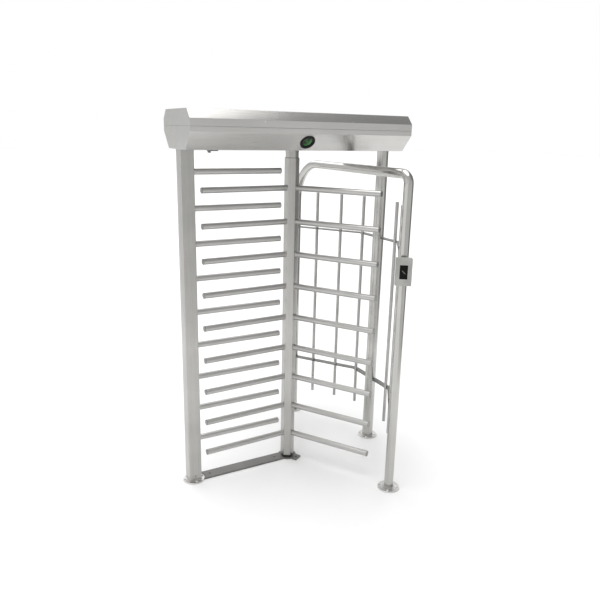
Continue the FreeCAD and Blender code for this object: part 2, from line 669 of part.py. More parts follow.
def hoop(name, bottom):
    half = value("hoop_width / 2")
    inner = hoop_corner(-half)
    outer = hoop_corner(half)
    rooms = [upright_room(value(RIGHT_POST_X), 0, value("round_post_dia / 2"))]
    for side in (-1, 1):
        rooms.append(upright_room(LEG_X, side * LEG_Y, value("portal_dia / 2")))
        for x, y in BAR_PLACES:
            rooms.append(upright_room(x, side * y, value("bar_dia / 2")))
    runs = [flat_run([inner, outer, (outer[0], -outer[1]), (inner[0], -inner[1])], bottom)]
    for side in (-1, 1):
        corners = (inner, outer, hoop_end(half), hoop_end(-half))
        runs.append(flat_run([(x, side * y) for x, y in corners], bottom))
    item = doc.addObject("Part::Feature", name)
    item.Shape = Part.makeCompound([solid for run in runs for solid in run.cut(rooms).Solids])
    return item


node(hoop("lower_hoop", value("hoop_low_height")))
node(hoop("upper_hoop", value("hoop_high_height")))


# Arms: straight tubes with flat end caps, one above the other.
def arm_row(name, start, end, lowest, cap_end, **where):
    """Make a row of arms along X from start to end, and their caps at one of these ends."""
    arms = []
    caps = []
    for level in range(int(value("arm_count"))):
        height = f"{lowest} + {level} * {ARM_PITCH}"
        arms.append(tube(
            f"{name}Arm{level + 1}", "arm_dia", "arm_dia - 2 * arm_wall", f"({end}) - ({start})",
            x=start, z=height, axis=(0, 1, 0), turn="90deg",
        ))
        disc = cylinder(f"{name}CapDisc{level + 1}", "arm_dia", "arm_cap")
        plug_dia = "arm_dia - 2 * arm_wall - 2 * cap_fit"
        plug = cylinder(f"{name}CapPlug{level + 1}", plug_dia, "arm_plug", z="-arm_plug")
        outward = "90deg" if cap_end == end else "-90deg"
        caps.append(fuse(
            f"{name}Cap{level + 1}", disc, plug, x=cap_end, z=height, axis=(0, 1, 0), turn=outward,
        ))
    return group(name, arms, **where), group(f"{name}Caps", caps, **where)


COMB_END = "(-comb_gap - arm_cap)"
comb, comb_caps = arm_row(
    "comb_arms", f"{LEFT_POST_X} + square_post_width / 2", COMB_END, f"arm_low + {ARM_PITCH} / 2", COMB_END,
)
node(comb)
comb_caps.Label = "comb_arm_caps"
NODES["comb_arm_caps"] = comb_caps

# Rotor: a six sided column with three wings, a third of a turn apart.
column_height = f"{COLUMN_TOP} - column_bottom"
outer_column = hexagon("columnOutside", "column_flats", column_height)
inner_column = hexagon("columnInside", "column_flats - 2 * column_wall", column_height)
node(cut(
    "rotor_column", outer_column, inner_column, z="column_bottom", turn="home_angle * 1deg",
))
WING_END = f"({WING_RADIUS} - arm_cap)"
wing_caps = []
for name, angle in (("left_wing", 180), ("front_wing", -60), ("rear_wing", 60)):
    wing, caps = arm_row(
        name, "column_flats / 2", WING_END, "arm_low", WING_END,
        turn=f"({angle} + home_angle) * 1deg",
    )
    node(wing)
    wing_caps.append(caps)
node(group("wing_caps", wing_caps))

# Spigot between the column and the drive shaft: a six sided bar in the top of the column.
SPIGOT_BOTTOM = f"({COLUMN_TOP} - spigot_depth)"
spigot_height = f"{HEADER_BOTTOM} + spigot_rise - {SPIGOT_BOTTOM}"
node(cut(
    "drive_spigot",
    hexagon("spigotBar", SPIGOT_FLATS, spigot_height),
    cylinder("spigotBore", "shaft_dia + 2 * shaft_fit", spigot_height),
    z=SPIGOT_BOTTOM, turn="home_angle * 1deg",
))
node(cylinder("drive_shaft", "shaft_dia", f"{SHAFT_TOP} - {SPIGOT_BOTTOM}", z=SPIGOT_BOTTOM))

# Foot of the rotor: a disc with two short legs, the pivot pin in it, and the bush and plug that
# turn on the pin.
foot_disc = cylinder("footDisc", "foot_disc_dia", "foot_thickness")
foot_legs = []
foot_holes = []
for side in (-1, 1):
    leg = block(
        f"footLeg{side}", "foot_leg_reach", "foot_leg_width", "foot_thickness", x="foot_leg_reach / 2",
    )
    foot_legs.append(group(f"footLegTurned{side}", [leg], turn=f"{side} * 60deg"))
    angle = f"({side} * 60deg)"
    foot_holes.append(cylinder(
        f"footHole{side}", "anchor_hole_dia", "foot_thickness",
        x=f"foot_hole_reach * cos({angle})", y=f"foot_hole_reach * sin({angle})",
    ))
pin_hole = cylinder("footPinHole", "pivot_dia", "foot_thickness")
node(cut("rotor_foot", fuse("footWhole", foot_disc, *foot_legs), pin_hole, *foot_holes))
pin = cylinder("pivotPinShank", "pivot_dia", "pivot_top")
collar = cylinder("pivotPinCollar", "pivot_collar_dia", "pivot_collar_height", z="foot_thickness")
node(fuse("pivot_pin", pin, collar))
BUSH_BOTTOM = "(foot_thickness + pivot_collar_height + run_fit)"
BUSH_DIA = "(pivot_dia + 2 * run_fit + 2 * bush_wall)"
bush_body = cylinder("bushBody", BUSH_DIA, "bush_height")
bush_flange = cylinder("bushFlange", "bush_flange_dia", "bush_flange")
bush_bore = cylinder("bushBore", "pivot_dia + 2 * run_fit", "bush_height")
node(cut("lower_bush", fuse("bushWhole", bush_body, bush_flange), bush_bore, z=BUSH_BOTTOM))
plug_flats = "column_flats - 2 * column_wall - 2 * spigot_fit"
plug_bottom = f"({BUSH_BOTTOM} + bush_flange)"
plug_bore = cylinder("plugBore", f"{BUSH_DIA} + 2 * shaft_fit", "plug_height")
plug_pit = cylinder("plugPit", "pivot_dia + 2 * pin_clearance", "plug_height + pivot_top")
node(cut(
    "column_foot_plug", hexagon("plugBar", plug_flats, "plug_height"), plug_bore, plug_pit,
    z=plug_bottom, turn="home_angle * 1deg",
))

# Sill: a flat bar on the floor from the square post's flange to the rotor's foot.
sill_bar = block(
    "sillBar", RIGHT_POST_X, "sill_width", "foot_thickness", x=f"{LEFT_POST_X} / 2",
)
post_side = cylinder("sillPostSide", "flange_dia + 2 * weld_gap", "foot_thickness", x=LEFT_POST_X)
rotor_side = cylinder("sillRotorSide", "foot_disc_dia + 2 * weld_gap", "foot_thickness")
sill_holes = [
    cylinder(
        "sillHolePost", "anchor_hole_dia", "foot_thickness",
        x=f"{LEFT_POST_X} + flange_dia / 2 + sill_hole_inset",
    ),
    cylinder(
        "sillHoleRotor", "anchor_hole_dia", "foot_thickness",
        x="-foot_disc_dia / 2 - sill_hole_inset",
    ),
]
node(cut("floor_sill", sill_bar, post_side, rotor_side, *sill_holes))

# Roof beam, lower half: a folded tray with openings for the posts, the spigot, the lamps, the
# override lock and the cable.
LOW_SHIFT = f"(sheet_wall * sqrt(1 + ({LOW_SLOPE_RUN} / {LOW_SLOPE_DROP}) ^ 2))"
base_body = new_body("headerTray")
tray_outside = new_sketch(base_body, "YZ_Plane", "trayOutside")
BASE_TOP = f"({HEADER_SEAM} - seal_thickness / 2)"
draw_outline(tray_outside, mirrored([
    ("-header_width / 2", BASE_TOP),
    ("-header_width / 2", HEADER_SIDE_BOTTOM),
    ("-header_bottom_width / 2", HEADER_BOTTOM),
]))
pad(base_body, tray_outside, "header_length", both_ways=True)
tray_inside = new_sketch(base_body, "YZ_Plane", "trayInside")
SIDE_INSIDE = "(header_width / 2 - sheet_wall)"
draw_outline(tray_inside, mirrored([
    (f"-{SIDE_INSIDE}", HEADER_SEAM),
    (
        f"-{SIDE_INSIDE}",
        f"{HEADER_BOTTOM} + ({SIDE_INSIDE} - header_bottom_width / 2 + {LOW_SHIFT})"
        f" * {LOW_SLOPE_DROP} / {LOW_SLOPE_RUN}",
    ),
    (
        f"-(header_bottom_width / 2 - {LOW_SHIFT} + sheet_wall * {LOW_SLOPE_RUN} / {LOW_SLOPE_DROP})",
        f"{HEADER_BOTTOM} + sheet_wall",
    ),
]))
pocket(base_body, tray_inside, "header_length - 2 * sheet_wall", both_ways=True)

LAMP_Y = f"(header_bottom_width / 2 + lamp_rise * {LOW_SLOPE_RUN} / {LOW_SLOPE_DROP})"
LAMP_Z = f"({HEADER_BOTTOM} + lamp_rise)"
LAMP_TILT = f"(180deg - atan({LOW_SLOPE_DROP} / {LOW_SLOPE_RUN}))"


def on_slopes(name, make):
    """Make a piece twice, facing out of the front and of the rear lower slope."""
    pair = []
    for side, word in ((-1, "Front"), (1, "Rear")):
        piece = make(f"{name}{word}")
        pair.append(group(
            f"{name}On{word}", [piece], x="lamp_x", y=f"{side} * {LAMP_Y}", z=LAMP_Z,
            axis=(1, 0, 0), turn=f"{-side} * {LAMP_TILT}",
        ))
    return pair


LOCK_X = f"({LEFT_POST_X} + lock_offset)"
CABLE_HOLE_X = f"({RIGHT_POST_X} - cable_hole_offset)"
square_hole_width = "square_post_width + 2 * weld_gap"
base_cuts = [block(
    "traySquareHole", square_hole_width, square_hole_width, "plate_rise",
    x=LEFT_POST_X, z=f"{HEADER_BOTTOM} - sheet_wall",
)]
for name, diameter, hole_x in (
    ("trayRoundHole", "round_post_dia + 2 * weld_gap", RIGHT_POST_X),
    ("traySpigotHole", f"{SPIGOT_FLATS} / cos(30deg) + 2 * hub_clearance", "0"),
    ("trayLockHole", "lock_dia + 2 * weld_gap", LOCK_X),
    ("trayCableHole", "cable_hole_dia", CABLE_HOLE_X),
):
    base_cuts.append(cylinder(
        name, diameter, "plate_rise", x=hole_x, z=f"{HEADER_BOTTOM} - sheet_wall",
    ))
base_cuts += on_slopes("trayLampHole", lambda name: cylinder(
    name, "lamp_neck_dia + 2 * weld_gap", "lamp_neck_depth", z="-lamp_neck_depth / 2",
))
node(cut("header_base", base_body, *base_cuts))

# Roof beam, upper half: a folded cover that lifts off after four screws.
TOP_SHIFT = f"(sheet_wall * sqrt(1 + ({TOP_SLOPE_RUN} / header_top_drop) ^ 2))"
cover_body = new_body("headerLid")
lid_outside = new_sketch(cover_body, "YZ_Plane", "lidOutside")
COVER_BOTTOM = f"({HEADER_SEAM} + seal_thickness / 2)"
draw_outline(lid_outside, mirrored([
    ("-header_width / 2", COVER_BOTTOM),
    ("-header_width / 2", HEADER_SIDE_TOP),
    ("-header_top_width / 2", "total_height"),
]))
pad(cover_body, lid_outside, "header_length", both_ways=True)
lid_inside = new_sketch(cover_body, "YZ_Plane", "lidInside")
draw_outline(lid_inside, mirrored([
    (f"-{SIDE_INSIDE}", HEADER_SEAM),
    (
        f"-{SIDE_INSIDE}",
        f"total_height - ({SIDE_INSIDE} - header_top_width / 2 + {TOP_SHIFT})"
        f" * header_top_drop / {TOP_SLOPE_RUN}",
    ),
    (
        f"-(header_top_width / 2 - {TOP_SHIFT} + sheet_wall * {TOP_SLOPE_RUN} / header_top_drop)",
        "total_height - sheet_wall",
    ),
]))
pocket(cover_body, lid_inside, "header_length - 2 * sheet_wall", both_ways=True)
SCREW_Z = "(total_height - cover_screw_drop)"
SCREW_HOLE_LENGTH = "(header_width + 2 * sheet_wall)"
cover_holes = [
    cylinder(
        f"lidScrewHole{side}", "cover_screw_dia + 2 * shaft_fit", SCREW_HOLE_LENGTH,
        x=f"{side} * cover_screw_spread / 2", y=f"{SCREW_HOLE_LENGTH} / 2", z=SCREW_Z,
        axis=(1, 0, 0), turn="90deg",
    )
    for side in (-1, 1)
]
node(cut("header_cover", cover_body, *cover_holes))

# Rubber strip in the joint, the tabs that hold the cover and the four cover screws.
strip_outside = block(
    "stripOutside", "header_length - 2 * seal_inset", "header_width - 2 * seal_inset", "seal_thickness",
)
strip_inside = block(
    "stripInside", "header_length - 2 * seal_inset - 2 * seal_width",
    "header_width - 2 * seal_inset - 2 * seal_width", "seal_thickness",
)
tabs = []
tab_slots = []
screws = []
for along in (-1, 1):
    for side in (-1, 1):
        tab_place = {
            "x": f"{along} * cover_screw_spread / 2",
            "y": f"{side} * (header_width / 2 - sheet_wall - bracket_thickness / 2)",
            "z": f"{SCREW_Z} + cover_screw_dia - bracket_height",
        }
        tab = block(
            f"coverTab{along}{side}", "bracket_length", "bracket_thickness", "bracket_height",
            **tab_place,
        )
        tab_hole = cylinder(
            f"coverTabHole{along}{side}", "cover_screw_dia + 2 * shaft_fit", SCREW_HOLE_LENGTH,
            x=f"{along} * cover_screw_spread / 2", y=f"{SCREW_HOLE_LENGTH} / 2", z=SCREW_Z,
            axis=(1, 0, 0), turn="90deg",
        )
        tabs.append(cut(f"coverTabDrilled{along}{side}", tab, tab_hole))
        tab_slots.append(block(
            f"stripSlot{along}{side}", "bracket_length + 2 * weld_gap", "bracket_thickness + 2 * weld_gap",
            "seal_thickness", x=tab_place["x"], y=tab_place["y"],
        ))
        name = f"coverScrew{along}{side}"
        shank_length = "(sheet_wall + bracket_thickness + cover_screw_end)"
        shank = cylinder(
            f"{name}Shank", "cover_screw_dia", shank_length, z=f"-{shank_length}",
        )
        head = cylinder(f"{name}Head", "cover_screw_head_dia", "cover_screw_head_height")
        socket = hexagon(
            f"{name}Socket", "cover_screw_dia / 2", "cover_screw_head_height / 2",
            z="cover_screw_head_height / 2",
        )
        whole = fuse(f"{name}Whole", shank, head)
        screws.append(cut(
            name, whole, socket, x=tab_place["x"], y=f"{side} * header_width / 2", z=SCREW_Z,
            axis=(1, 0, 0), turn=f"{-side} * 90deg",
        ))
node(cut("cover_seal", strip_outside, strip_inside, *tab_slots, z=BASE_TOP))
node(group("cover_brackets", tabs))
node(group("cover_screws", screws))

# Mechanism plate: the structural plate that ties the posts and carries the drive, on four spacers
# from which the tray hangs.
plate = block("plateBar", PLATE_LENGTH, "plate_width", "plate_thickness")
plate_cuts = [cylinder("plateBore", "bearing_bore_step", "plate_thickness")]
for post, post_x in (("Left", LEFT_POST_X), ("Right", RIGHT_POST_X)):
    for side in (-1, 1):
        plate_cuts.append(cylinder(
            f"plateHole{post}{side}", "post_bolt_dia", "plate_thickness",
            x=post_x, y=f"{side} * post_bolt_spread / 2",
        ))
node(cut("mechanism_plate", plate, *plate_cuts, z=PLATE_BOTTOM))
spacers = [
    cylinder(
        f"traySpacer{along}{side}", "spacer_dia", "plate_rise - sheet_wall",
        x=f"{along} * spacer_spread_x / 2", y=f"{side} * spacer_spread_y / 2",
        z=f"{HEADER_BOTTOM} + sheet_wall",
    )
    for along in (-1, 1) for side in (-1, 1)
]
node(group("tray_spacers", spacers))

# Top bearing: flanged housing, two grooved rings and the balls between them.
housing_whole = fuse(
    "housingWhole",
    cylinder("housingBody", "housing_dia", "housing_height"),
    cylinder("housingFlange", "housing_flange_dia", "housing_flange"),
)
node(cut(
    "top_bearing_housing", housing_whole,
    cylinder("housingStep", "bearing_bore_step", "housing_height"),
    cylinder("housingSeat", "bearing_dia + 2 * shaft_fit", "housing_height", z="bearing_seat"),
    z=PLATE_TOP,
))
OUTER_RING_BORE = "(bearing_groove_dia + bearing_ring_gap)"
INNER_RING_DIA = "(bearing_groove_dia - bearing_ring_gap)"


def groove(name):
    item = doc.addObject("Part::Torus", name)
    bind(item, Radius1="bearing_groove_dia / 2", Radius2="ball_dia / 2 + ball_fit")
    return place(item, z="bearing_width / 2")


node(cut(
    "bearing_outer_ring", tube("outerRingTube", "bearing_dia", OUTER_RING_BORE, "bearing_width"),
    groove("outerRingGroove"), z=BEARING_BOTTOM,
))
node(cut(
    "bearing_inner_ring",
    tube("innerRingTube", INNER_RING_DIA, "shaft_dia + 2 * shaft_fit", "bearing_width"),
    groove("innerRingGroove"), z=BEARING_BOTTOM,
))
balls = []
for index in range(int(value("ball_count"))):
    ball = doc.addObject("Part::Sphere", f"bearingBall{index}")
    bind(ball, Radius="ball_dia / 2")
    angle = f"({index} * 360deg / ball_count)"
    balls.append(place(
        ball, x=f"bearing_groove_dia / 2 * cos({angle})", y=f"bearing_groove_dia / 2 * sin({angle})",
        z=f"{BEARING_BOTTOM} + bearing_width / 2",
    ))
node(group("bearing_balls", balls))


# Gear pair: the main gear on the drive shaft turns the pinion of the rotary damper.
def tooth_outline(teeth):
    """Give the outline of a spur gear, a tooth on the X axis, with three points up each flank."""
    module = value("gear_module")
    pressure = math.radians(20)
    pitch_radius = module * teeth / 2
    base_radius = pitch_radius * math.cos(pressure)
    root_radius = pitch_radius - 1.25 * module
    half_thickness = (math.pi * module / 2 - value("gear_backlash")) / 2 / pitch_radius
    involute = math.tan(pressure) - pressure

    def flank(radius):
        swing = math.acos(min(1, base_radius / radius))
        return half_thickness + involute - (math.tan(swing) - swing)

    start = max(root_radius, base_radius)
    rising = [(root_radius, -flank(start))]
    rising += [(radius, -flank(radius)) for radius in (start, pitch_radius, pitch_radius + module)]
    if start == root_radius:
        rising = rising[1:]
    flanks = rising + [(radius, -angle) for radius, angle in reversed(rising)]
    outline = []
    for tooth in range(teeth):
        turn = 2 * math.pi * tooth / teeth
        for radius, angle in flanks:
            way = turn + angle
            outline.append(FreeCAD.Vector(radius * math.cos(way), radius * math.sin(way), 0))
    return outline


def gear_disc(name, teeth, bore):
    outline = tooth_outline(teeth)
    face = Part.Face(Part.makePolygon(outline + outline[:1]))
    solid = face.extrude(FreeCAD.Vector(0, 0, value("gear_width")))
    if bore:
        solid = solid.cut(Part.makeCylinder(bore / 2, value("gear_width")))
    item = doc.addObject("Part::Feature", name)
    item.Shape = solid
    return item


SHAFT_BORE = "(shaft_dia + 2 * shaft_fit)"
GEAR_HUB_BOTTOM = f"({BEARING_BOTTOM} + bearing_width)"
gear_teeth = gear_disc("mainGearTeeth", int(value("gear_teeth")), value(SHAFT_BORE))
place(gear_teeth, z=f"{PLATE_TOP} + gear_rise")
gear_hub = tube(
    "mainGearHub", "gear_hub_dia", SHAFT_BORE, f"{PLATE_TOP} + gear_rise - {GEAR_HUB_BOTTOM}",
    z=GEAR_HUB_BOTTOM,
)
node(fuse("main_gear", gear_teeth, gear_hub))

pinion_teeth = gear_disc("pinionTeeth", int(value("pinion_teeth")), 0)
PINION_SHAFT = "(gear_rise - damper_height + pinion_shaft_depth)"
DAMPER_BORE_DEPTH = "(pinion_shaft_depth + pinion_shaft_gap)"
pinion_shaft = cylinder("pinionShaft", "pinion_shaft_dia", PINION_SHAFT, z=f"-{PINION_SHAFT}")
node(fuse(
    "damper_pinion", pinion_teeth, pinion_shaft,
    x=GEAR_CENTRES, z=f"{PLATE_TOP} + gear_rise", turn="180deg / pinion_teeth",
))
node(cut(
    "damper_housing", cylinder("damperBody", "damper_dia", "damper_height"),
    cylinder(
        "damperBore", "pinion_shaft_dia + 2 * run_fit", DAMPER_BORE_DEPTH,
        z=f"damper_height - {DAMPER_BORE_DEPTH}",
    ),
    x=GEAR_CENTRES, z=PLATE_TOP,
))

# Ratchet wheel above the gear: twelve notches for the pawls' noses.
wheel = new_body("ratchetDisc", z=f"{PLATE_TOP} + ratchet_rise")
wheel_rim = new_sketch(wheel, "XY_Plane", "ratchetRim")
draw_circle(wheel_rim, "0", "0", "ratchet_dia")
draw_circle(wheel_rim, "0", "0", SHAFT_BORE)
pad(wheel, wheel_rim, "ratchet_width")
wheel_notch = new_sketch(wheel, "XY_Plane", "ratchetNotch")
NOTCH_FLOOR = "(ratchet_dia / 2 - notch_depth)"
draw_outline(wheel_notch, [
    (NOTCH_FLOOR, "-notch_width / 2"),
    ("ratchet_dia / 2 + notch_depth", "-notch_width / 2"),
    ("ratchet_dia / 2 + notch_depth", "notch_width / 2"),
    (NOTCH_FLOOR, "notch_width / 2"),
])
first_notch = pocket(wheel, wheel_notch, "ratchet_width")
notches = wheel.newObject("PartDesign::PolarPattern", "ratchetNotches")
notches.Originals = [first_notch]
notches.Axis = (wheel_notch, ["N_Axis"])
notches.Angle = 360
bind(notches, Occurrences="ratchet_notches")
wheel.Tip = notches
doc.recompute()
wheel_hub = tube(
    "ratchetHub", "gear_hub_dia", SHAFT_BORE, "ratchet_rise - gear_rise - gear_width",
    z=f"{PLATE_TOP} + gear_rise + gear_width",
)
node(fuse("ratchet_wheel", wheel, wheel_hub))
node(cut(
    "shaft_nut", hexagon("shaftNutBlank", "nut_flats", "nut_height"),
    cylinder("shaftNutBore", SHAFT_BORE, "nut_height"),
    z=f"{PLATE_TOP} + ratchet_rise + ratchet_width",
))

# Pawls: one holds each way of turning. Each has a nose for the notches, a hub on its pin and a
# tail with a pin for the solenoid's plunger. It is drawn with its pivot at the origin, its nose
# along X and the ratchet wheel on its positive Y side.
PAWL_START = "(ratchet_dia / 2 + pawl_nose_gap)"
PAWL_END = "(pawl_reach + pawl_nose / 2)"
PAWL_OUTLINE = (
    ("-(pawl_tail + tail_pin_dia)", "tail_pin_dia"),
    ("-(pawl_tail + tail_pin_dia)", "-tail_pin_dia"),
    ("-pawl_pin_dia", "-pawl_pin_dia"),
    ("pawl_pin_dia", "-(pawl_pin_dia + pawl_hub_swell)"),
    (f"({PAWL_END} - pawl_arm_length)", "-(pawl_nose_length + pawl_arm_width)"),
    (PAWL_END, "-(pawl_nose_length + pawl_arm_width)"),
    (PAWL_END, "0"),
    ("pawl_reach - pawl_nose / 2", "0"),
    ("pawl_reach - pawl_nose / 2", "-pawl_nose_length"),
    ("pawl_reach - pawl_neck", "-pawl_nose_length"),
    ("pawl_reach - 2 * pawl_neck", "pawl_arm_width"),
    ("pawl_pin_dia", "pawl_pin_dia"),
    ("-pawl_pin_dia", "pawl_pin_dia"),
)


def pawl_place(side):
    """Give the place and turn of one pawl: side is 1 for the rear one and -1 for the front one."""
    nose_x = f"{PAWL_START} * cos(pawl_angle * 1deg)"
    nose_y = f"{PAWL_START} * sin(pawl_angle * 1deg)"
    return {
        "x": f"{nose_x} + pawl_reach * sin(pawl_angle * 1deg)",
        "y": f"{side} * ({nose_y} - pawl_reach * cos(pawl_angle * 1deg))",
        "turn": f"{side} * (pawl_angle * 1deg + 90deg)",
    }


def pawl(name, side):
    body = new_body(f"{name}Plate")
    outline = new_sketch(body, "XY_Plane", f"{name}Outline")
    draw_outline(outline, [(across, f"{side} * ({up})") for across, up in PAWL_OUTLINE])
    draw_circle(outline, "0", "0", "pawl_pin_dia + 2 * run_fit")
    pad(body, outline, "pawl_thickness")
    tail_pin = cylinder(
        f"{name}TailPin", "tail_pin_dia", "tail_pin_height", x="-pawl_tail", z="pawl_thickness",
    )
    return fuse(name, body, tail_pin, z=PAWL_BOTTOM, axis=(0, 0, 1), **pawl_place(side))


node(pawl("exit_pawl", 1))
node(pawl("entry_pawl", -1))

pins = []
springs = []
for word, side in (("Exit", 1), ("Entry", -1)):
    where = pawl_place(side)
    where.pop("turn")
    pin_height = f"{PAWL_BOTTOM} + pawl_thickness + run_fit - {PLATE_TOP}"
    shank = cylinder(f"pawlPin{word}Shank", "pawl_pin_dia", pin_height)
    head = cylinder(f"pawlPin{word}Head", "pawl_pin_head", "pawl_pin_head_height", z=pin_height)
    pins.append(fuse(f"pawlPin{word}", shank, head, z=PLATE_TOP, **where))
    room = f"({PAWL_BOTTOM} - {PLATE_TOP} - spring_wire - 2 * spring_gap)"
    coil = Part.makeHelix(value(room) / value("spring_turns"), value(room), value("spring_dia / 2"))
    slope = value(room) / value("spring_turns") / (math.pi * value("spring_dia"))
    start = FreeCAD.Vector(value("spring_dia / 2"), 0, 0)
    wire = Part.Wire(Part.makeCircle(value("spring_wire / 2"), start, FreeCAD.Vector(0, 1, slope)))
    spring = doc.addObject("Part::Feature", f"pawlSpring{word}")
    spring.Shape = Part.Wire(coil.Edges).makePipeShell([wire], True, True)
    springs.append(place(spring, z=f"{PLATE_TOP} + spring_wire / 2 + spring_gap", **where))
node(group("pawl_pins", pins))
node(group("pawl_springs", springs))


# Solenoids on their stands, each with a plunger whose slotted flat end takes a pawl's tail pin.
def solenoid(name, side):
    """Make a solenoid in its pawl's own frame."""
    middle_y = f"{side} * (solenoid_gap + solenoid_length / 2)"
    coil_bottom = "(plunger_rise - solenoid_height / 2)"
    coil = block(
        f"{name}Coil", "solenoid_width", "solenoid_length", "solenoid_height",
        x="-pawl_tail", y=middle_y, z=coil_bottom,
    )
    stand = block(
        f"{name}Stand", "stand_width", "stand_length", coil_bottom,
        x="-pawl_tail - stand_shift", y=middle_y,
    )
    bore = cylinder(
        f"{name}Bore", "plunger_dia + 2 * run_fit", "plunger_grip + plunger_end_gap",
        x="-pawl_tail", y=f"{side} * solenoid_gap", z="plunger_rise",
        axis=(1, 0, 0), turn=f"{-side} * 90deg",
    )
    return cut(name, fuse(f"{name}Whole", coil, stand), bore, z=PLATE_TOP, **pawl_place(side))


def plunger(name, side):
    """Make a plunger in its pawl's own frame, its slot around the tail pin."""
    blade_end = "(blade_shift + blade_length / 2)"
    rod = cylinder(
        f"{name}Rod", "plunger_dia", f"solenoid_gap + plunger_grip - slot_length - {blade_end}",
        x="-pawl_tail", y=f"{side} * {blade_end}", z="plunger_rise",
        axis=(1, 0, 0), turn=f"{-side} * 90deg",
    )
    blade = block(
        f"{name}Blade", "blade_width", "blade_length", "blade_thickness",
        x="-pawl_tail", y=f"{side} * blade_shift", z="plunger_rise - blade_thickness / 2",
    )
    slot = block(
        f"{name}Slot", "slot_length", "tail_pin_dia + slot_play", "blade_thickness",
        x="-pawl_tail", z="plunger_rise - blade_thickness / 2",
    )
    return cut(name, fuse(f"{name}Whole", rod, blade), slot, z=PLATE_TOP, **pawl_place(side))


node(group("lock_solenoids", [solenoid("exitSolenoid", 1), solenoid("entrySolenoid", -1)]))
node(plunger("exit_plunger", 1))
node(plunger("entry_plunger", -1))

# Override lock in the bottom of the roof beam: a body through an oblong plate, a plug that the key
# turns, and its cam.
LOCK_DROP = "(lock_plate_thickness + lock_nose)"
lock_whole = fuse(
    "lockWhole",
    cylinder("lockBarrel", "lock_dia", f"lock_height + {LOCK_DROP}", z=f"-{LOCK_DROP}"),
    cylinder(
        "lockPlateEnd", "lock_plate_width", "lock_plate_thickness", z="-lock_plate_thickness",
    ),
    block(
        "lockPlate", "lock_plate_reach", "lock_plate_width", "lock_plate_thickness",
        x="lock_plate_reach / 2", z="-lock_plate_thickness",
    ),
    cylinder(
        "lockPlateFarEnd", "lock_plate_width", "lock_plate_thickness",
        x="lock_plate_reach", z="-lock_plate_thickness",
    ),
)
node(cut(
    "override_lock", lock_whole,
    cylinder(
        "lockBore", "key_plug_dia + 2 * run_fit", f"lock_height + 2 * {LOCK_DROP}",
        z=f"-1.5 * {LOCK_DROP}",
    ),
    x=LOCK_X, z=HEADER_BOTTOM,
))
key_whole = fuse(
    "keyWhole",
    cylinder(
        "keyPlug", "key_plug_dia", f"lock_height + {LOCK_DROP} + key_cam_gap + key_cam_thickness",
        z=f"-{LOCK_DROP}",
    ),
    block(
        "keyCam", "key_cam_length", "key_cam_width", "key_cam_thickness",
        x="key_cam_length / 2 - key_cam_width / 2", z="lock_height + key_cam_gap",
    ),
)
node(cut(
    "key_cam", key_whole,
    block("keySlot", "key_slot_width", "key_slot_length", "key_slot_depth", z=f"-{LOCK_DROP}"),
    x=LOCK_X, z=HEADER_BOTTOM,
))


# Indicator lamps, front and rear: black ring, green lens and the lamp unit behind it.
def lamp_ring(name):
    whole = fuse(
        f"{name}Whole",
        cylinder(f"{name}Disc", "lamp_dia", "lamp_ring"),
        cylinder(f"{name}Neck", "lamp_neck_dia", "lamp_neck_depth", z="-lamp_neck_depth"),
    )
    return cut(
        name, whole,
        cylinder(f"{name}Opening", "lamp_opening_dia", "2 * lamp_ring", z="-lamp_ring / 2"),
        cylinder(
            f"{name}Bore", "lamp_neck_dia - 2 * lamp_neck_wall", "lamp_neck_depth",
            z="-lamp_neck_depth",
        ),
    )


LENS_DIA = "lamp_neck_dia - 2 * lamp_neck_wall - 2 * weld_gap"
node(group("lamp_rings", on_slopes("lampRing", lamp_ring)))
node(group("lamp_lenses", on_slopes("lampLens", lambda name: cylinder(
    name, LENS_DIA, "lens_thickness", z="-lens_thickness",
))))
node(group("lamp_units", on_slopes("lampUnit", lambda name: cylinder(
    name, LENS_DIA, "lamp_neck_depth - lens_thickness", z="-lamp_neck_depth",
))))

# Card reader on the front leg, drawn with the leg's axis at the origin and its face along X.
READER_PLACE = {
    "x": PORTAL_X, "y": "-portal_spread / 2", "z": "reader_height", "turn": "reader_angle * 1deg",
}
LEG_RADIUS = "(portal_dia / 2)"
READER_BACK = f"({LEG_RADIUS} + saddle_depth)"
SADDLE_START = f"({LEG_RADIUS} - saddle_wrap)"
saddle_block = block(
    "saddleBlock", f"{READER_BACK} - {SADDLE_START}", "saddle_width", "saddle_tall",
    x=f"({READER_BACK} + {SADDLE_START}) / 2", z="-saddle_tall / 2",
)
saddle_leg = cylinder("saddleLeg", "portal_dia + 2 * weld_gap", "saddle_tall", z="-saddle_tall / 2")
reader_holes = []
reader_screws = []
for side in (-1, 1):
    reader_holes.append(cylinder(
        f"readerHole{side}", "reader_screw_dia + 2 * shaft_fit", f"{READER_BACK} + 2 * reader_wall",
        z=f"{side} * reader_screw_spread / 2", axis=(0, 1, 0), turn="90deg",
    ))
    shank_length = "(reader_wall + saddle_depth - reader_screw_end)"
    shank = cylinder(
        f"readerScrewShank{side}", "reader_screw_dia", shank_length, z=f"-{shank_length}",
    )
    head = cylinder(
        f"readerScrewHead{side}", "reader_screw_head_dia", "reader_screw_head_height",
    )
    reader_screws.append(fuse(
        f"readerScrew{side}", shank, head, x=f"{READER_BACK} + reader_wall",
        z=f"{side} * reader_screw_spread / 2", axis=(0, 1, 0), turn="90deg",
    ))
node(cut("reader_saddle", saddle_block, saddle_leg, *reader_holes, **READER_PLACE))
node(group("reader_screws", reader_screws, **READER_PLACE))
reader_box = block(
    "readerBox", "reader_depth", "reader_width", "reader_tall",
    x=f"{READER_BACK} + reader_depth / 2", z="-reader_tall / 2",
)
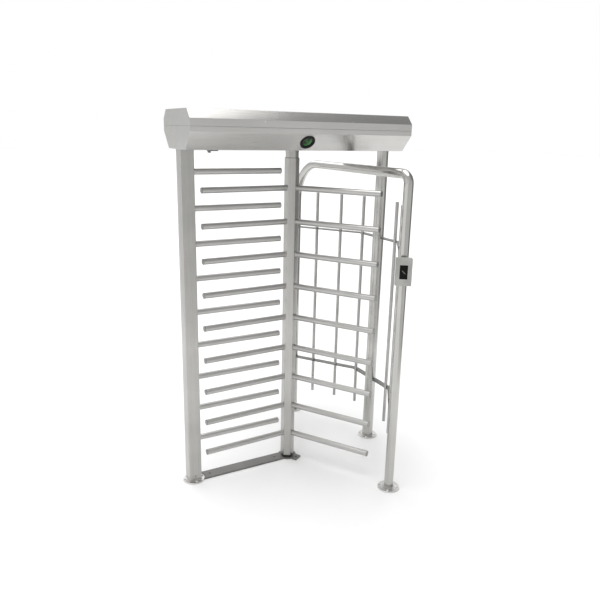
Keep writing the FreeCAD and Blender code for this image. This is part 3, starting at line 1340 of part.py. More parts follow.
reader_room = block(
    "readerRoom", "reader_depth - 2 * reader_wall", "reader_width - 2 * reader_wall",
    "reader_tall - 2 * reader_wall",
    x=f"{READER_BACK} + reader_depth / 2", z="reader_wall - reader_tall / 2",
)
reader_opening = block(
    "readerOpening", "2 * reader_wall", "window_width", "window_tall",
    x=f"{READER_BACK} + reader_depth", z="-window_tall / 2",
)
node(cut("reader_housing", reader_box, reader_room, reader_opening, *reader_holes, **READER_PLACE))
PANE_X = f"({READER_BACK} + reader_depth - reader_wall - window_thickness / 2)"
pane = fuse(
    "paneWhole",
    block(
        "paneBack", "window_thickness", "window_width + 2 * window_rim",
        "window_tall + 2 * window_rim", x=PANE_X, z="-window_tall / 2 - window_rim",
    ),
    block(
        "paneFront", "reader_wall", "window_width - 2 * weld_gap", "window_tall - 2 * weld_gap",
        x=f"{READER_BACK} + reader_depth - reader_wall / 2 - window_inset",
        z="weld_gap - window_tall / 2",
    ),
)
node(group("reader_window", [pane], **READER_PLACE))
READER_BOARD_X = f"({PANE_X} - window_thickness / 2 - board_thickness / 2)"
node(group("reader_board", [block(
    "readerBoardPlate", "board_thickness", "window_width + 4 * window_rim",
    "window_tall + 6 * window_rim", x=READER_BOARD_X, z="-window_tall / 2 - 3 * window_rim",
)], **READER_PLACE))

# Electrics on the mechanism plate: control board on standoffs, and the power supply.
BOARD_X = f"({RIGHT_POST_X} - board_offset)"
standoffs = [
    cylinder(
        f"standoff{along}{side}", "standoff_dia", "standoff_height",
        x=f"{BOARD_X} + {along} * (board_length / 2 - standoff_dia)",
        y=f"{side} * (board_width / 2 - standoff_dia)", z=PLATE_TOP,
    )
    for along in (-1, 1) for side in (-1, 1)
]
node(group("board_standoffs", standoffs))
node(block("control_board", "board_length", "board_width", "board_thickness",
           x=BOARD_X, z=f"{PLATE_TOP} + standoff_height"))
node(block(
    "power_supply", "supply_length", "supply_width", "supply_height",
    x=f"{LEFT_POST_X} + supply_offset", z=PLATE_TOP,
))

# Check every object and every piece before anything is written.
doc.recompute()
for item in doc.Objects:
    if "Invalid" in item.State or "Error" in item.State:
        raise RuntimeError(f"{item.Name} is {item.State}")
for label, item in NODES.items():
    shape = item.Shape
    if shape.isNull() or not shape.isValid() or not shape.Solids:
        raise RuntimeError(f"{label} has no sound shape")

for label, item in NODES.items():
    item.Shape.exportStep(f"parts/{label}.step")
    box = item.Shape.BoundBox
    print(f"{label}: {len(item.Shape.Solids)} solids, {item.Shape.Volume / 1000:.1f} cm3,"
          f" z {box.ZMin:.1f} to {box.ZMax:.1f}")
print(len(NODES), "pieces")
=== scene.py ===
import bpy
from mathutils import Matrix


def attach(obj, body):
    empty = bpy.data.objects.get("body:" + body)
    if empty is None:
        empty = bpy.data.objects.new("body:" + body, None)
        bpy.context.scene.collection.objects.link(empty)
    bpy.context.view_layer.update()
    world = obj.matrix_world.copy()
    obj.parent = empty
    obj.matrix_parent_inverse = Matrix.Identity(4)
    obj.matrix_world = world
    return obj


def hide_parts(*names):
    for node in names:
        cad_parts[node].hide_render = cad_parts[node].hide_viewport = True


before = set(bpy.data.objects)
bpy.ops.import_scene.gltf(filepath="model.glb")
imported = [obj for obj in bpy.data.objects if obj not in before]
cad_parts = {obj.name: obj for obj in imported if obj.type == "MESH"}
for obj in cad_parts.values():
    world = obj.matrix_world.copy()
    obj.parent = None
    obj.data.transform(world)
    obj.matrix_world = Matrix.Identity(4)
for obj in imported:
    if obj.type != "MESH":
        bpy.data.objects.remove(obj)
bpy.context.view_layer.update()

import math

import bmesh
import bpy
from mathutils import Matrix, Vector

# Floor flanges. Four discs of 8 mm stainless plate, faced on a lathe, one under each post and each
# leg of the portal. Each has four countersunk anchor holes and a TIG bead round its tube.
METRE = 1000  # sizes are in millimetres, unless a comment says otherwise
MICRON = 1e-6  # in metres
COLOUR_A, COLOUR_B, COLOUR_OUT = 6, 7, 2  # the colour sockets of a Mix node
SHARP = math.radians(32)  # faces that meet at less than this are shaded as one
POST_X = 682  # from the middle of the beam to the axis of either post
LEG_X, LEG_Y = 397, 650  # the axis of a portal leg; the front one stands at -LEG_Y


def linear(code):
    """Turn an sRGB hex colour into the linear values of a socket."""
    parts = [int(code[place:place + 2], 16) / 255 for place in (1, 3, 5)]
    return [part / 12.92 if part <= 0.04045 else ((part + 0.055) / 1.055) ** 2.4
            for part in parts] + [1]


def add(tree, kind, inputs=None, **settings):
    """Add a node. Each input is a value, or the output of another node to link."""
    item = tree.nodes.new(kind)
    for name, setting in settings.items():
        setattr(item, name, setting)
    for socket, source in (inputs or {}).items():
        if isinstance(source, bpy.types.NodeSocket):
            tree.links.new(source, item.inputs[socket])
        else:
            item.inputs[socket].default_value = source
    return item


def blank_material(name):
    """Start a material. The last value gives a point of the piece in its own space, in metres."""
    material = bpy.data.materials.new(name)
    material.use_nodes = True
    tree = material.node_tree
    tree.nodes.clear()
    return material, tree, add(tree, "ShaderNodeTexCoord").outputs["Object"]


def close_material(tree, height, depth, inputs):
    """Close a material with its shader. height is the output that raises the surface, if one does,
    and depth how far, in microns."""
    if height is not None:
        relief = add(tree, "ShaderNodeBump", {
            "Strength": 1.0, "Distance": depth * MICRON, "Height": height})
        inputs["Normal"] = relief.outputs["Normal"]
    shader = add(tree, "ShaderNodeBsdfPrincipled", inputs)
    add(tree, "ShaderNodeOutputMaterial", {"Surface": shader.outputs["BSDF"]})


def rubbed_edges(tree, body, light, radius, start, full, worn, gain):
    """Brighten a metal where its edges are rubbed. The wear starts, and is full, where a normal
    rounded over radius metres leans from the face's own by these cosines."""
    rounded_edge = add(tree, "ShaderNodeBevel", {"Radius": radius}, samples=4)
    surface = add(tree, "ShaderNodeNewGeometry")
    leaning = add(tree, "ShaderNodeVectorMath", {
        0: rounded_edge.outputs["Normal"], 1: surface.outputs["Normal"]}, operation="DOT_PRODUCT")
    edge = add(tree, "ShaderNodeMapRange", {
        "Value": leaning.outputs["Value"], "From Min": start, "From Max": full, "To Max": worn})
    rubbed = [min(1, part * gain) for part in linear(light)]
    return add(tree, "ShaderNodeMix", {
        "Factor": edge.outputs["Result"], COLOUR_A: body, COLOUR_B: rubbed},
        data_type="RGBA").outputs[COLOUR_OUT]


def bare_metal(name, light, dark, roughness, marks, patches, depth):
    """Make a bare metal. marks is how far its tool marks carry on along X, Y and Z and patches the
    size of its broad changes of tone, both in mm; depth is the height of the marks in microns."""
    material, tree, place = blank_material(name)
    stretched = add(tree, "ShaderNodeVectorMath", {0: place, 1: [METRE / size for size in marks]},
                    operation="MULTIPLY")
    lines = add(tree, "ShaderNodeTexNoise", {
        "Vector": stretched.outputs["Vector"], "Scale": 1.0, "Detail": 4.0, "Roughness": 0.6})
    cloud = add(tree, "ShaderNodeTexNoise", {
        "Vector": place, "Scale": METRE / patches, "Detail": 3.0})
    both = add(tree, "ShaderNodeMath", {0: lines.outputs["Fac"], 1: cloud.outputs["Fac"]},
               operation="ADD")
    spread = {"Value": both.outputs["Value"], "From Min": 0.7, "From Max": 1.3}
    tone = add(tree, "ShaderNodeMapRange", spread)
    body = add(tree, "ShaderNodeMix", {
        "Factor": tone.outputs["Result"], COLOUR_A: linear(dark), COLOUR_B: linear(light)},
        data_type="RGBA")
    colour = rubbed_edges(tree, body.outputs[COLOUR_OUT], light, radius=0.0015, start=0.985,
                          full=0.88, worn=0.5, gain=1.25)
    handled = add(tree, "ShaderNodeTexNoise", {
        "Vector": place, "Scale": 1.5 * METRE / patches, "Detail": 5.0})
    smudge = add(tree, "ShaderNodeMapRange", {
        "Value": handled.outputs["Fac"], "From Min": 0.5, "From Max": 0.75, "To Max": 0.03})
    gloss = add(tree, "ShaderNodeMapRange", {
        **spread, "To Min": roughness + 0.04, "To Max": roughness - 0.04})
    dulled = add(tree, "ShaderNodeMath", {0: gloss.outputs["Result"], 1: smudge.outputs["Result"]},
                 operation="ADD")
    close_material(tree, lines.outputs["Fac"], depth, {
        "Base Color": colour, "Metallic": 1.0, "Roughness": dulled.outputs["Value"]})
    return material


def at(x, y, z=0):
    """Give the place of a point: in millimetres within a shape, in metres for a whole piece."""
    return Matrix.Translation((x, y, z))


def spun(degrees, axis):
    """Give a turn about an axis."""
    return Matrix.Rotation(math.radians(degrees), 4, axis)


def merge(shape):
    """Close a shape's seams and turn its faces outwards."""
    bmesh.ops.remove_doubles(shape, verts=shape.verts, dist=0.002)
    bmesh.ops.recalc_face_normals(shape, faces=shape.faces)
    return shape


def turn(shape, profile, place=Matrix(), steps=72):
    """Turn a closed profile of radius and height about the local Z axis."""
    rows = []
    for step in range(steps):
        angle = math.tau * step / steps
        rows.append([
            shape.verts.new(place @ Vector((
                radius * math.cos(angle), radius * math.sin(angle), height)))
            for radius, height in profile
        ])
    for row, following in zip(rows, rows[1:] + rows[:1]):
        for index in range(len(profile)):
            after = (index + 1) % len(profile)
            if profile[index][0] > 0 or profile[after][0] > 0:
                shape.faces.new((row[index], following[index], following[after], row[after]))


def turned(profile, place=Matrix(), steps=72):
    """Start a shape with one turned profile."""
    shape = bmesh.new()
    turn(shape, profile, place, steps)
    return shape


def sweep(shape, line, radii, sides=12, closed=False):
    """Carry a circle along a line of points, with a radius for each of them."""
    points = [Vector(point) for point in line]
    count = len(points)
    rings = []
    across = None
    for index, point in enumerate(points):
        before = points[index - 1] if closed or index else point
        after = points[(index + 1) % count] if closed or index + 1 < count else point
        forward = (after - before).normalized()
        if across is None:
            across = forward.orthogonal()
        across = (across - forward * across.dot(forward)).normalized()
        up = forward.cross(across)
        rings.append([
            shape.verts.new(point + radii[index] * (
                across * math.cos(math.tau * side / sides)
                + up * math.sin(math.tau * side / sides)))
            for side in range(sides)
        ])
    for ring, following in zip(rings, rings[1:] + (rings[:1] if closed else [])):
        for side in range(sides):
            after = (side + 1) % sides
            shape.faces.new((ring[side], ring[after], following[after], following[side]))
    if not closed:
        shape.faces.new(rings[0][::-1])
        shape.faces.new(rings[-1])


def swollen(size, phase):
    """Give a weld bead's radius, which swells and narrows from drop to drop."""
    return size * (0.86 + 0.14 * math.sin(phase))


def bead(shape, centre, radius, size, axis=(0, 0, 1), start=0, end=360):
    """Lay a weld bead round a tube, in overlapping drops about as long as the bead is wide. start
    and end are in degrees."""
    tilt = Vector((0, 0, 1)).rotation_difference(Vector(axis))
    place = at(*centre) @ tilt.to_matrix().to_4x4()
    drops = max(6, round(math.radians(end - start) * radius / (1.3 * size)))
    steps = drops * 4
    whole = end - start == 360
    line = []
    radii = []
    for step in range(steps if whole else steps + 1):
        angle = math.radians(start + (end - start) * step / steps)
        line.append(place @ Vector((radius * math.cos(angle), radius * math.sin(angle), 0)))
        radii.append(swollen(size, math.tau * step / 4 + 0.6))
    sweep(shape, line, radii, sides=8, closed=whole)


def as_mesh(name, shape):
    """Write a shape into a mesh in metres and let its curved faces run on."""
    mesh = bpy.data.meshes.new(name)
    merge(shape).to_mesh(mesh)
    shape.free()
    mesh.transform(Matrix.Scale(1 / METRE, 4))
    mesh.shade_smooth()
    mesh.set_sharp_from_angle(angle=SHARP)
    return mesh


def soften(item, width):
    """Round a piece's hard edges."""
    edge = item.modifiers.new("broken_edges", "BEVEL")
    edge.width = width / METRE
    edge.segments = 2
    edge.limit_method = "ANGLE"
    edge.angle_limit = math.radians(40)
    edge.harden_normals = True


def put(name, data):
    """Add an object to the scene."""
    item = bpy.data.objects.new(name, data)
    bpy.context.scene.collection.objects.link(item)
    return item


def fit(name, shape, finish, body, *stands_for, place=Matrix(), edge=0, slot=None):
    """Put a shape in place as a piece that rides on a body, and hide the nodes it stands for."""
    item = put(name, as_mesh(name, shape))
    item.matrix_world = place
    item.data.materials.append(finish)
    if edge:
        soften(item, edge)
    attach(item, body)
    if stands_for:
        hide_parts(*stands_for)


def carve(shape, *cutters):
    """Cut shapes out of a shape, one after the other."""
    for cutter in cutters:
        pair = []
        for part in (shape, cutter):
            mesh = bpy.data.meshes.new("carving")
            merge(part).to_mesh(mesh)
            part.free()
            pair.append(put("carving", mesh))
        knife = pair[0].modifiers.new("knife", "BOOLEAN")
        knife.operation = "DIFFERENCE"
        knife.solver = "EXACT"
        knife.object = pair[1]
        result = pair[0].evaluated_get(bpy.context.evaluated_depsgraph_get()).to_mesh()
        shape = bmesh.new()
        shape.from_mesh(result)
        for item in pair:
            used = item.data
            bpy.data.objects.remove(item)
            bpy.data.meshes.remove(used)
    return shape


# Stainless steel, faced on a lathe: rings, and highlights drawn out across them. Real rings are far
# finer; they are drawn 19 mm apart, tau times 3 mm, so that they show.
faced_steel, tree, place = blank_material("stainless_steel_faced")
WAVE = 20  # radians of a wave texture for each unit of its scale
rings = add(tree, "ShaderNodeTexWave", {
    "Vector": place, "Scale": METRE / 3 / WAVE, "Distortion": 1.2, "Detail": 3.0,
    "Detail Scale": 0.4}, wave_type="RINGS", rings_direction="Z")
cloud = add(tree, "ShaderNodeTexNoise", {"Vector": place, "Scale": 22.0, "Detail": 5.0})
both = add(tree, "ShaderNodeMath", {0: rings.outputs["Fac"], 1: cloud.outputs["Fac"]},
           operation="ADD")
tone = add(tree, "ShaderNodeMapRange", {
    "Value": both.outputs["Value"], "From Min": 0.5, "From Max": 1.5})
body = add(tree, "ShaderNodeMix", {
    "Factor": tone.outputs["Result"], COLOUR_A: linear("#cbcac9"), COLOUR_B: linear("#e0dfde")},
    data_type="RGBA")
colour = rubbed_edges(tree, body.outputs[COLOUR_OUT], "#e0dfde", radius=0.0012, start=0.995,
                      full=0.9, worn=0.2, gain=1.2)
gloss = add(tree, "ShaderNodeMapRange", {
    "Value": cloud.outputs["Fac"], "From Min": 0.3, "From Max": 0.7,
    "To Min": 0.35, "To Max": 0.46})
around = add(tree, "ShaderNodeTangent", direction_type="RADIAL", axis="Z")
close_material(tree, rings.outputs["Fac"], 4, {
    "Base Color": colour, "Metallic": 1.0, "Roughness": gloss.outputs["Result"],
    "Anisotropic": 0.6, "Tangent": around.outputs["Tangent"]})
# TIG weld, left as welded: silver with a faint straw tint, rippled.
weld_steel = bare_metal("stainless_weld_as_laid", "#c2bfb6", "#93918c", 0.34, (3, 3, 3), 12, 12)

ANCHOR_CIRCLE = 55  # from the flange's axis to each anchor hole
FLANGE_BEAD = 8.4  # height of a bead on a flange
places = ((-POST_X, 0, 0), (POST_X, 0, 45), (LEG_X, -LEG_Y, 45), (LEG_X, LEG_Y, 45))
for index, (x, y, first) in enumerate(places):
    flange = turned(((0, 0), (69.4, 0), (70, 0.6), (70, 6.6), (68.6, 8), (0, 8)), steps=96)
    anchor_holes = bmesh.new()
    for quarter in range(4):
        angle = math.radians(first + 90 * quarter)
        turn(anchor_holes, ((0, -1), (6, -1), (6, 4.5), (9.5, 8.001), (9.9, 8.4), (0, 8.4)),
             at(ANCHOR_CIRCLE * math.cos(angle), ANCHOR_CIRCLE * math.sin(angle)), 32)
    fit(f"floor_flange_{index + 1}", carve(flange, anchor_holes), faced_steel, "frame",
        *(() if index else ("floor_flanges",)), place=at(x / METRE, y / METRE),
        slot="floor_flanges")
flange_beads = bmesh.new()
for x, y, radius in ((POST_X, 0, 38.3), (LEG_X, -LEG_Y, 28.7), (LEG_X, LEG_Y, 28.7)):
    bead(flange_beads, (x, y, FLANGE_BEAD), radius, 2.6)
fit("floor_flange_welds", flange_beads, weld_steel, "frame", slot="floor_flanges")

# Square comb post. An 80 mm stainless box section with drawn corners, brushed along its length, on
# its own flange, with a recessed grub screw in the foot of its front face.
PLATE_TOP, POST_TOP = 8, 2110  # where the posts stand and end
SCREW_Y, SCREW_Z = -36, 41  # the inner face of the post's wall, where the screw sits


def rounded(corners, radius, steps=5, keep=()):
    """Give a closed outline with its corners rounded, apart from those to keep sharp."""
    outline = []
    count = len(corners)
    for index, corner in enumerate(corners):
        here = Vector(corner)
        if index in keep:
            outline.append(here)
            continue
        back = (Vector(corners[index - 1]) - here).normalized()
        ahead = (Vector(corners[(index + 1) % count]) - here).normalized()
        half = back.angle(ahead) / 2
        centre = here + (back + ahead).normalized() * radius / math.sin(half)
        first = here + back * radius / math.tan(half) - centre
        last = here + ahead * radius / math.tan(half) - centre
        sweep_angle = math.atan2(first.x * last.y - first.y * last.x, first.dot(last))
        for step in range(steps + 1):
            outline.append(centre + Matrix.Rotation(sweep_angle * step / steps, 2) @ first)
    return outline


def extrude(shape, outline, start, end, place=Matrix()):
    """Extrude a closed outline along the local Z axis, ends closed."""
    low = [shape.verts.new(place @ Vector((x, y, start))) for x, y in outline]
    high = [shape.verts.new(place @ Vector((x, y, end))) for x, y in outline]
    for index in range(len(outline)):
        after = (index + 1) % len(outline)
        shape.faces.new((low[index], low[after], high[after], high[index]))
    shape.faces.new(low[::-1])
    shape.faces.new(high)


def extruded(outline, start, end, place=Matrix()):
    """Start a shape with one extruded outline."""
    shape = bmesh.new()
    extrude(shape, outline, start, end, place)
    return shape


def square(width, depth=None):
    """Give the outline of a square, or of a rectangle, about its middle."""
    x, y = width / 2, (depth or width) / 2
    return [(-x, -y), (x, -y), (x, y), (-x, y)]


def hexagon(radius, first=0):
    """Give the outline of a hexagon, its first corner at that many degrees."""
    angles = [math.radians(first + 60 * corner) for corner in range(6)]
    return [(radius * math.cos(angle), radius * math.sin(angle)) for angle in angles]


def outline_bead(outline, size, height, middle=0):
    """Lay a weld bead along a closed outline, whose middle is at that X."""
    dense = []
    for start, end in zip(outline, outline[1:] + outline[:1]):
        pieces = max(1, round((end - start).length / 1.2))
        dense += [start.lerp(end, step / pieces) for step in range(pieces)]
    shape = bmesh.new()
    sweep(shape, [(x + middle, y, height) for x, y in dense],
          [swollen(size, 1.9 * step) for step in range(len(dense))], 8, True)
    return shape


# Stainless box section, belt brushed upright: satin, with fine lines up the post. Here and on the
# other brushed and polished metals they are drawn 3 to 6 mm wide, so that they show.
brushed_upright = bare_metal(
    "stainless_steel_brushed_upright", "#bbbab7", "#a9a8a5", 0.3, (3, 3, 420), 260, 3)
post = extruded(rounded(square(80), 4), PLATE_TOP, POST_TOP)
post_bore = extruded(rounded(square(72), 2), PLATE_TOP - 1, POST_TOP + 1)
screw_hole = turned(((0, -1), (4, -1), (4, 3.6), (4.8, 4.4), (0, 4.4)),
                    at(0, SCREW_Y, SCREW_Z) @ spun(90, "X"), 40)
fit("square_post_tube", carve(post, post_bore, screw_hole), brushed_upright, "frame", "left_post",
    place=at(-POST_X / METRE, 0), edge=0.5)
fit("square_post_weld", outline_bead(rounded(square(80), 4, 8), 2.5, FLANGE_BEAD, -POST_X),
    weld_steel, "frame", slot="left_post")

# Steel screw, blackened: dark, with a soft shine. It has a hexagon socket.
black_screw_steel = bare_metal(
    "steel_blackened_screw", "#4a4a4b", "#303031", 0.36, (2, 2, 2), 6, 6)
screw = turned(((0, 0), (3.95, 0), (3.95, 2.4), (3.4, 3), (0, 3)), steps=40)
fit("post_foot_screw", carve(screw, extruded(hexagon(2.3), 1, 4)), black_screw_steel, "frame",
    "post_grub_screw",
    place=at(-POST_X / METRE, SCREW_Y / METRE, SCREW_Z / METRE) @ spun(90, "X"))

# Round post under the other end of the beam. Stainless tube of 76.1 mm, polished lengthwise with a
# belt to a satin.
satin_tube = bare_metal(
    "stainless_steel_tube_satin", "#c2c1be", "#acaba8", 0.26, (5, 5, 360), 240, 3)
round_post = turned(
    ((35.05, PLATE_TOP), (38.05, PLATE_TOP), (38.05, POST_TOP), (35.05, POST_TOP)),
    at(POST_X, 0), 96)
fit("round_post_tube", round_post, satin_tube, "frame", "right_post")


# Plugs welded into the post heads and the bolts through them, hidden in the beam. Turned steel, and
# zinc plated hexagon bolts.
def dress(finish, *names, edge=0.4):
    """Give CAD nodes their finish, smooth their curved faces and break their edges."""
    for name in names:
        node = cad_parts[name]
        node.data.materials.clear()
        node.data.materials.append(finish)
        node.data.shade_smooth()
        node.data.set_sharp_from_angle(angle=SHARP)
        if edge:
            soften(node, edge)


# Carbon steel, machined: grey with fine feed marks. Zinc plate: paler, bluish, faintly clouded.
machined_steel = bare_metal(
    "carbon_steel_machined", "#a5a5a6", "#87888a", 0.3, (14, 14, 0.8), 40, 5)
zinc_steel = bare_metal("steel_zinc_plated", "#b9bdc2", "#989da3", 0.38, (7, 7, 7), 26, 4)
dress(machined_steel, "post_heads")
dress(zinc_steel, "plate_bolts")

# Portal. One stainless tube of 57 mm bent twice, tightly at the front and over a wide former at the
# rear, and mirror polished, so it shows brighter and sharper streaks than the satin posts.
PORTAL_TOP, FRONT_BEND, REAR_BEND = 1975, 55, 280
polished_tube = bare_metal(
    "stainless_steel_tube_polished", "#c0bfbc", "#aeadaa", 0.11, (6, 6, 300), 300, 1)
portal = bmesh.new()
route = [(LEG_X, -LEG_Y, height) for height in (PLATE_TOP, 400, 900, 1400, 1800)]
for step in range(21):
    angle = math.radians(90 * step / 20)
    route.append((LEG_X, -LEG_Y + FRONT_BEND * (1 - math.cos(angle)),
                  PORTAL_TOP - FRONT_BEND + FRONT_BEND * math.sin(angle)))
route += [(LEG_X, y, PORTAL_TOP) for y in (-400, -200, 0, 200)]
for step in range(33):
    angle = math.radians(90 * step / 32)
    route.append((LEG_X, LEG_Y - REAR_BEND + REAR_BEND * math.sin(angle),
                  PORTAL_TOP - REAR_BEND * (1 - math.cos(angle))))
route += [(LEG_X, LEG_Y, height) for height in (1400, 900, 400, PLATE_TOP)]
sweep(portal, route, [28.5] * len(route), 64)
fit("portal_tube_bent", portal, polished_tube, "frame", "portal_tube")

# Guard bars. Six drawn stainless round bars of 22 mm with chamfered ends, let into the two hoops
# and welded to them from below.
HOOP_FACES = (451.6, 458.4, 1495.6, 1502.4)  # beads under and over the lower and the upper hoop
# Stainless round bar, drawn: satin, with short lines from the die.
drawn_bar = bare_metal("stainless_steel_drawn_bar", "#bdbcba", "#a3a2a0", 0.29, (4, 4, 160), 120, 5)
bars = bmesh.new()
hoop_beads = bmesh.new()
for x, y in ((POST_X, 190), (599.05, 354.36), (491.85, 511.23)):
    for side in (-1, 1):
        turn(bars, ((0, 198), (9.8, 198), (11, 199.2), (11, 1762.8), (9.8, 1764), (0, 1764)),
             at(x, side * y), 48)
        for height in HOOP_FACES[::2]:
            bead(hoop_beads, (x, side * y, height), 11.3, 1.9)
fit("guard_bars_round", bars, drawn_bar, "frame", "guard_bars")

# Hoops. Two hoops of 44 by 6 mm stainless flat bar, mitred at the corners and welded to the portal
# legs and to the round post; mill finish, and coloured darker than the tubes as painted shade.
flat_bar = bare_metal(
    "stainless_steel_flat_bar_painted_shade", "#8b8a87", "#72716f", 0.42, (30, 30, 30), 90, 6)
dress(flat_bar, "lower_hoop", "upper_hoop", edge=0.9)
for height in HOOP_FACES:
    for x, y, radius, middle, half in (
            (POST_X, 0, 38.4, 90, 34), (POST_X, 0, 38.4, 270, 34),
            (LEG_X, -LEG_Y, 28.8, 58.2, 50), (LEG_X, LEG_Y, 28.8, -58.2, 50)):
        bead(hoop_beads, (x, y, height), radius, 2.2, start=middle - half, end=middle + half)
fit("hoop_welds", hoop_beads, weld_steel, "frame", slot="lower_hoop")

# Comb arms. Nine stainless tubes of 36 mm welded to the square post, belt polished along their
# length, each closed by a turned cap with a small lip.
LOWEST_ARM, ARM_STEP = 185, 208.7  # a wing's lowest arm, and from each arm to the next one up
# Stainless tube, belt polished: an even satin with faint lines along the arm.
satin_arm = bare_metal(
    "stainless_steel_arm_satin", "#bfbebc", "#b1b0ae", 0.33, (300, 6, 6), 240, 1.5)
# Stainless cap, turned: darker, since its flat end looks away from the light.
turned_cap = bare_metal("stainless_steel_cap_turned", "#a3a29f", "#8b8a87", 0.3, (5, 5, 5), 30, 6)


def arm_row(lowest, start, end):
    """Make nine arms along X, one above the other: their tubes, their caps and their welds."""
    tubes, caps, beads = bmesh.new(), bmesh.new(), bmesh.new()
    length = end - start
    for level in range(9):
        height = lowest + ARM_STEP * level
        turn(tubes, ((16, 0), (18, 0), (18, length - 0.5), (17.5, length), (16, length)),
             at(start, 0, height) @ spun(90, "Y"), 48)
        turn(caps, ((0, -14), (15, -14), (15.85, -13), (15.85, 0), (17.4, 0), (18, 0.6), (18, 2.9),
                    (17, 3.9), (15.6, 4), (14.8, 3.3), (0, 3.1)),
             at(end, 0, height) @ spun(90, "Y"), 48)
        bead(beads, (start + 0.4, 0, height), 18.2, 2.1, (1, 0, 0))
    return tubes, caps, beads


comb, comb_caps, comb_beads = arm_row(LOWEST_ARM + ARM_STEP / 2, -642, -81)
fit("comb_arm_tubes", comb, satin_arm, "frame", "comb_arms")
fit("comb_end_caps", comb_caps, turned_cap, "frame", "comb_arm_caps")
fit("comb_welds", comb_beads, weld_steel, "frame", slot="comb_arms")

# Sill and rotor foot. Flat stainless plate of 12 mm on the floor from the square post to the rotor,
# brushed lengthwise to a satin, and the foot plate with two short legs for the pivot pin. Their
# dark grey is painted shade, not the steel's own colour.
sill_plate_painted_shade = bare_metal(
    "stainless_steel_plate_painted_shade", "#828180", "#6f6e6d", 0.36, (180, 3, 3), 150, 8)
dress(sill_plate_painted_shade, "floor_sill", "rotor_foot", edge=0.9)
# Pivot pin, ground: bright. Bush, lead free bronze, turned: warm yellow.
ground_steel = bare_metal("stainless_steel_ground", "#d2d1ce", "#bdbcb9", 0.14, (20, 20, 1), 40, 2)
bronze = bare_metal("bearing_bronze_turned", "#c09a5b", "#9a7840", 0.3, (14, 14, 0.8), 30, 5)
pin = turned(((0, 0), (15, 0), (15, 12), (26.2, 12), (27, 12.8), (27, 18.2), (26.2, 19), (15, 19),
              (15, 69), (14, 70), (0, 70)))
fit("pivot_pin_ground", pin, ground_steel, "frame", "pivot_pin")
dress(bronze, "lower_bush")
dress(machined_steel, "column_foot_plug")

# Column. A six sided stainless section of 80 mm across its flats that turns on the pivot pin and
# carries the three wings. Brushed upright, corners slightly rounded.
COLUMN_FOOT, COLUMN_TOP = 22, 2035
COLUMN_TURN = spun(2.4, "Z")


def six_sides(flats):
    """Give the column's outline from its size across the flats."""
    return hexagon(flats / 2 / math.cos(math.radians(30)), 30)


column = extruded(rounded(six_sides(80), 2.5), COLUMN_FOOT, COLUMN_TOP)
column_bore = extruded(rounded(six_sides(71), 1), COLUMN_FOOT - 1, COLUMN_TOP + 1)
fit("rotor_column_tube", carve(column, column_bore), brushed_upright, "rotor", "rotor_column",
    place=COLUMN_TURN, edge=0.6)
# Weld round the top of the column, where the spigot enters it, left as welded. Its dark brown grey
# is painted shade: the dark line where the column meets the spigot.
column_weld_painted_shade = bare_metal(
    "stainless_weld_column_top_painted_shade", "#77736c", "#4c4944", 0.4, (3, 3, 3), 12, 12)
fit("column_top_weld", outline_bead(rounded(six_sides(75.4), 2.5, 6), 2.4, COLUMN_TOP + 0.4),
    column_weld_painted_shade, "rotor", slot="rotor_column", place=COLUMN_TURN)
dress(brushed_upright, "drive_spigot")
dress(ground_steel, "drive_shaft")

# Wings. Three rows of nine stainless tubes a third of a turn apart, welded to the column and closed
# by the same caps as the comb.
for wing, angle in (("left_wing", 182.4), ("front_wing", -57.6), ("rear_wing", 62.4)):
    tubes, caps, beads = arm_row(LOWEST_ARM, 40, 596)
    wing_place = spun(angle, "Z")
    fit(f"{wing}_tubes", tubes, satin_arm, "rotor", wing, place=wing_place)
    fit(f"{wing}_end_caps", caps, turned_cap, "rotor", "wing_caps", place=wing_place)
    fit(f"{wing}_welds", beads, weld_steel, "rotor", slot=wing, place=wing_place)

# Drive and locking in the beam, hidden under the cover: a zinc plated plate, machined gears, wheel
# and pawls of hardened steel, dark with straight grinding lines, a bearing of bright ground steel,
# springs of brownish drawn wire, and housings of pale, grainy die cast aluminium.
chrome_steel = bare_metal("bearing_steel_ground", "#c9cbce", "#b3b5b8", 0.12, (10, 10, 1), 30, 1)
hardened_steel = bare_metal("tool_steel_hardened", "#6e6c6b", "#4f4d4c", 0.34, (12, 3, 3), 18, 5)
spring_steel = bare_metal("spring_steel_drawn", "#8f8e8c", "#73716f", 0.25, (3, 3, 3), 10, 3)
cast_aluminium = bare_metal(
    "aluminium_die_cast", "#b4b5b6", "#9a9b9d", 0.46, (1.4, 1.4, 1.4), 22, 30)
dress(zinc_steel, "mechanism_plate", "tray_spacers", "cover_brackets", "pawl_pins", "shaft_nut")
dress(cast_aluminium, "top_bearing_housing", "damper_housing")
dress(chrome_steel, "bearing_outer_ring", "bearing_inner_ring", "bearing_balls", edge=0)
dress(machined_steel, "main_gear", "damper_pinion", "exit_plunger", "entry_plunger", edge=0)
dress(hardened_steel, "ratchet_wheel", "exit_pawl", "entry_pawl")
dress(spring_steel, "pawl_springs", edge=0)

# Roof beam, lower half. A tray folded from 2 mm stainless sheet with its end plates welded in and
# ground flush, brushed pale along the beam; holes for posts, column, lamps, lock and cable.
BEAM_END = 728  # from the middle of the beam to the outside of an end plate
UNDERSIDE, TRAY_TOP, COVER_FOOT, BEAM_TOP = 2084, 2208.2, 2209.8, 2300  # heights
LOCK_X, CABLE_X = -538, 560
ALONG = Matrix(((0, 0, 1, 0), (1, 0, 0, 0), (0, 1, 0, 0), (0, 0, 0, 1)))  # outlines in Y and Z
brushed_beam = bare_metal(
    "stainless_steel_sheet_brushed", "#cbcac8", "#bebdba", 0.25, (520, 3, 3), 420, 1.5)


def rod(radius, low, high):
    """Give the profile of a round rod, or of what a drill takes out."""
    return (0, low), (radius, low), (radius, high), (0, high)


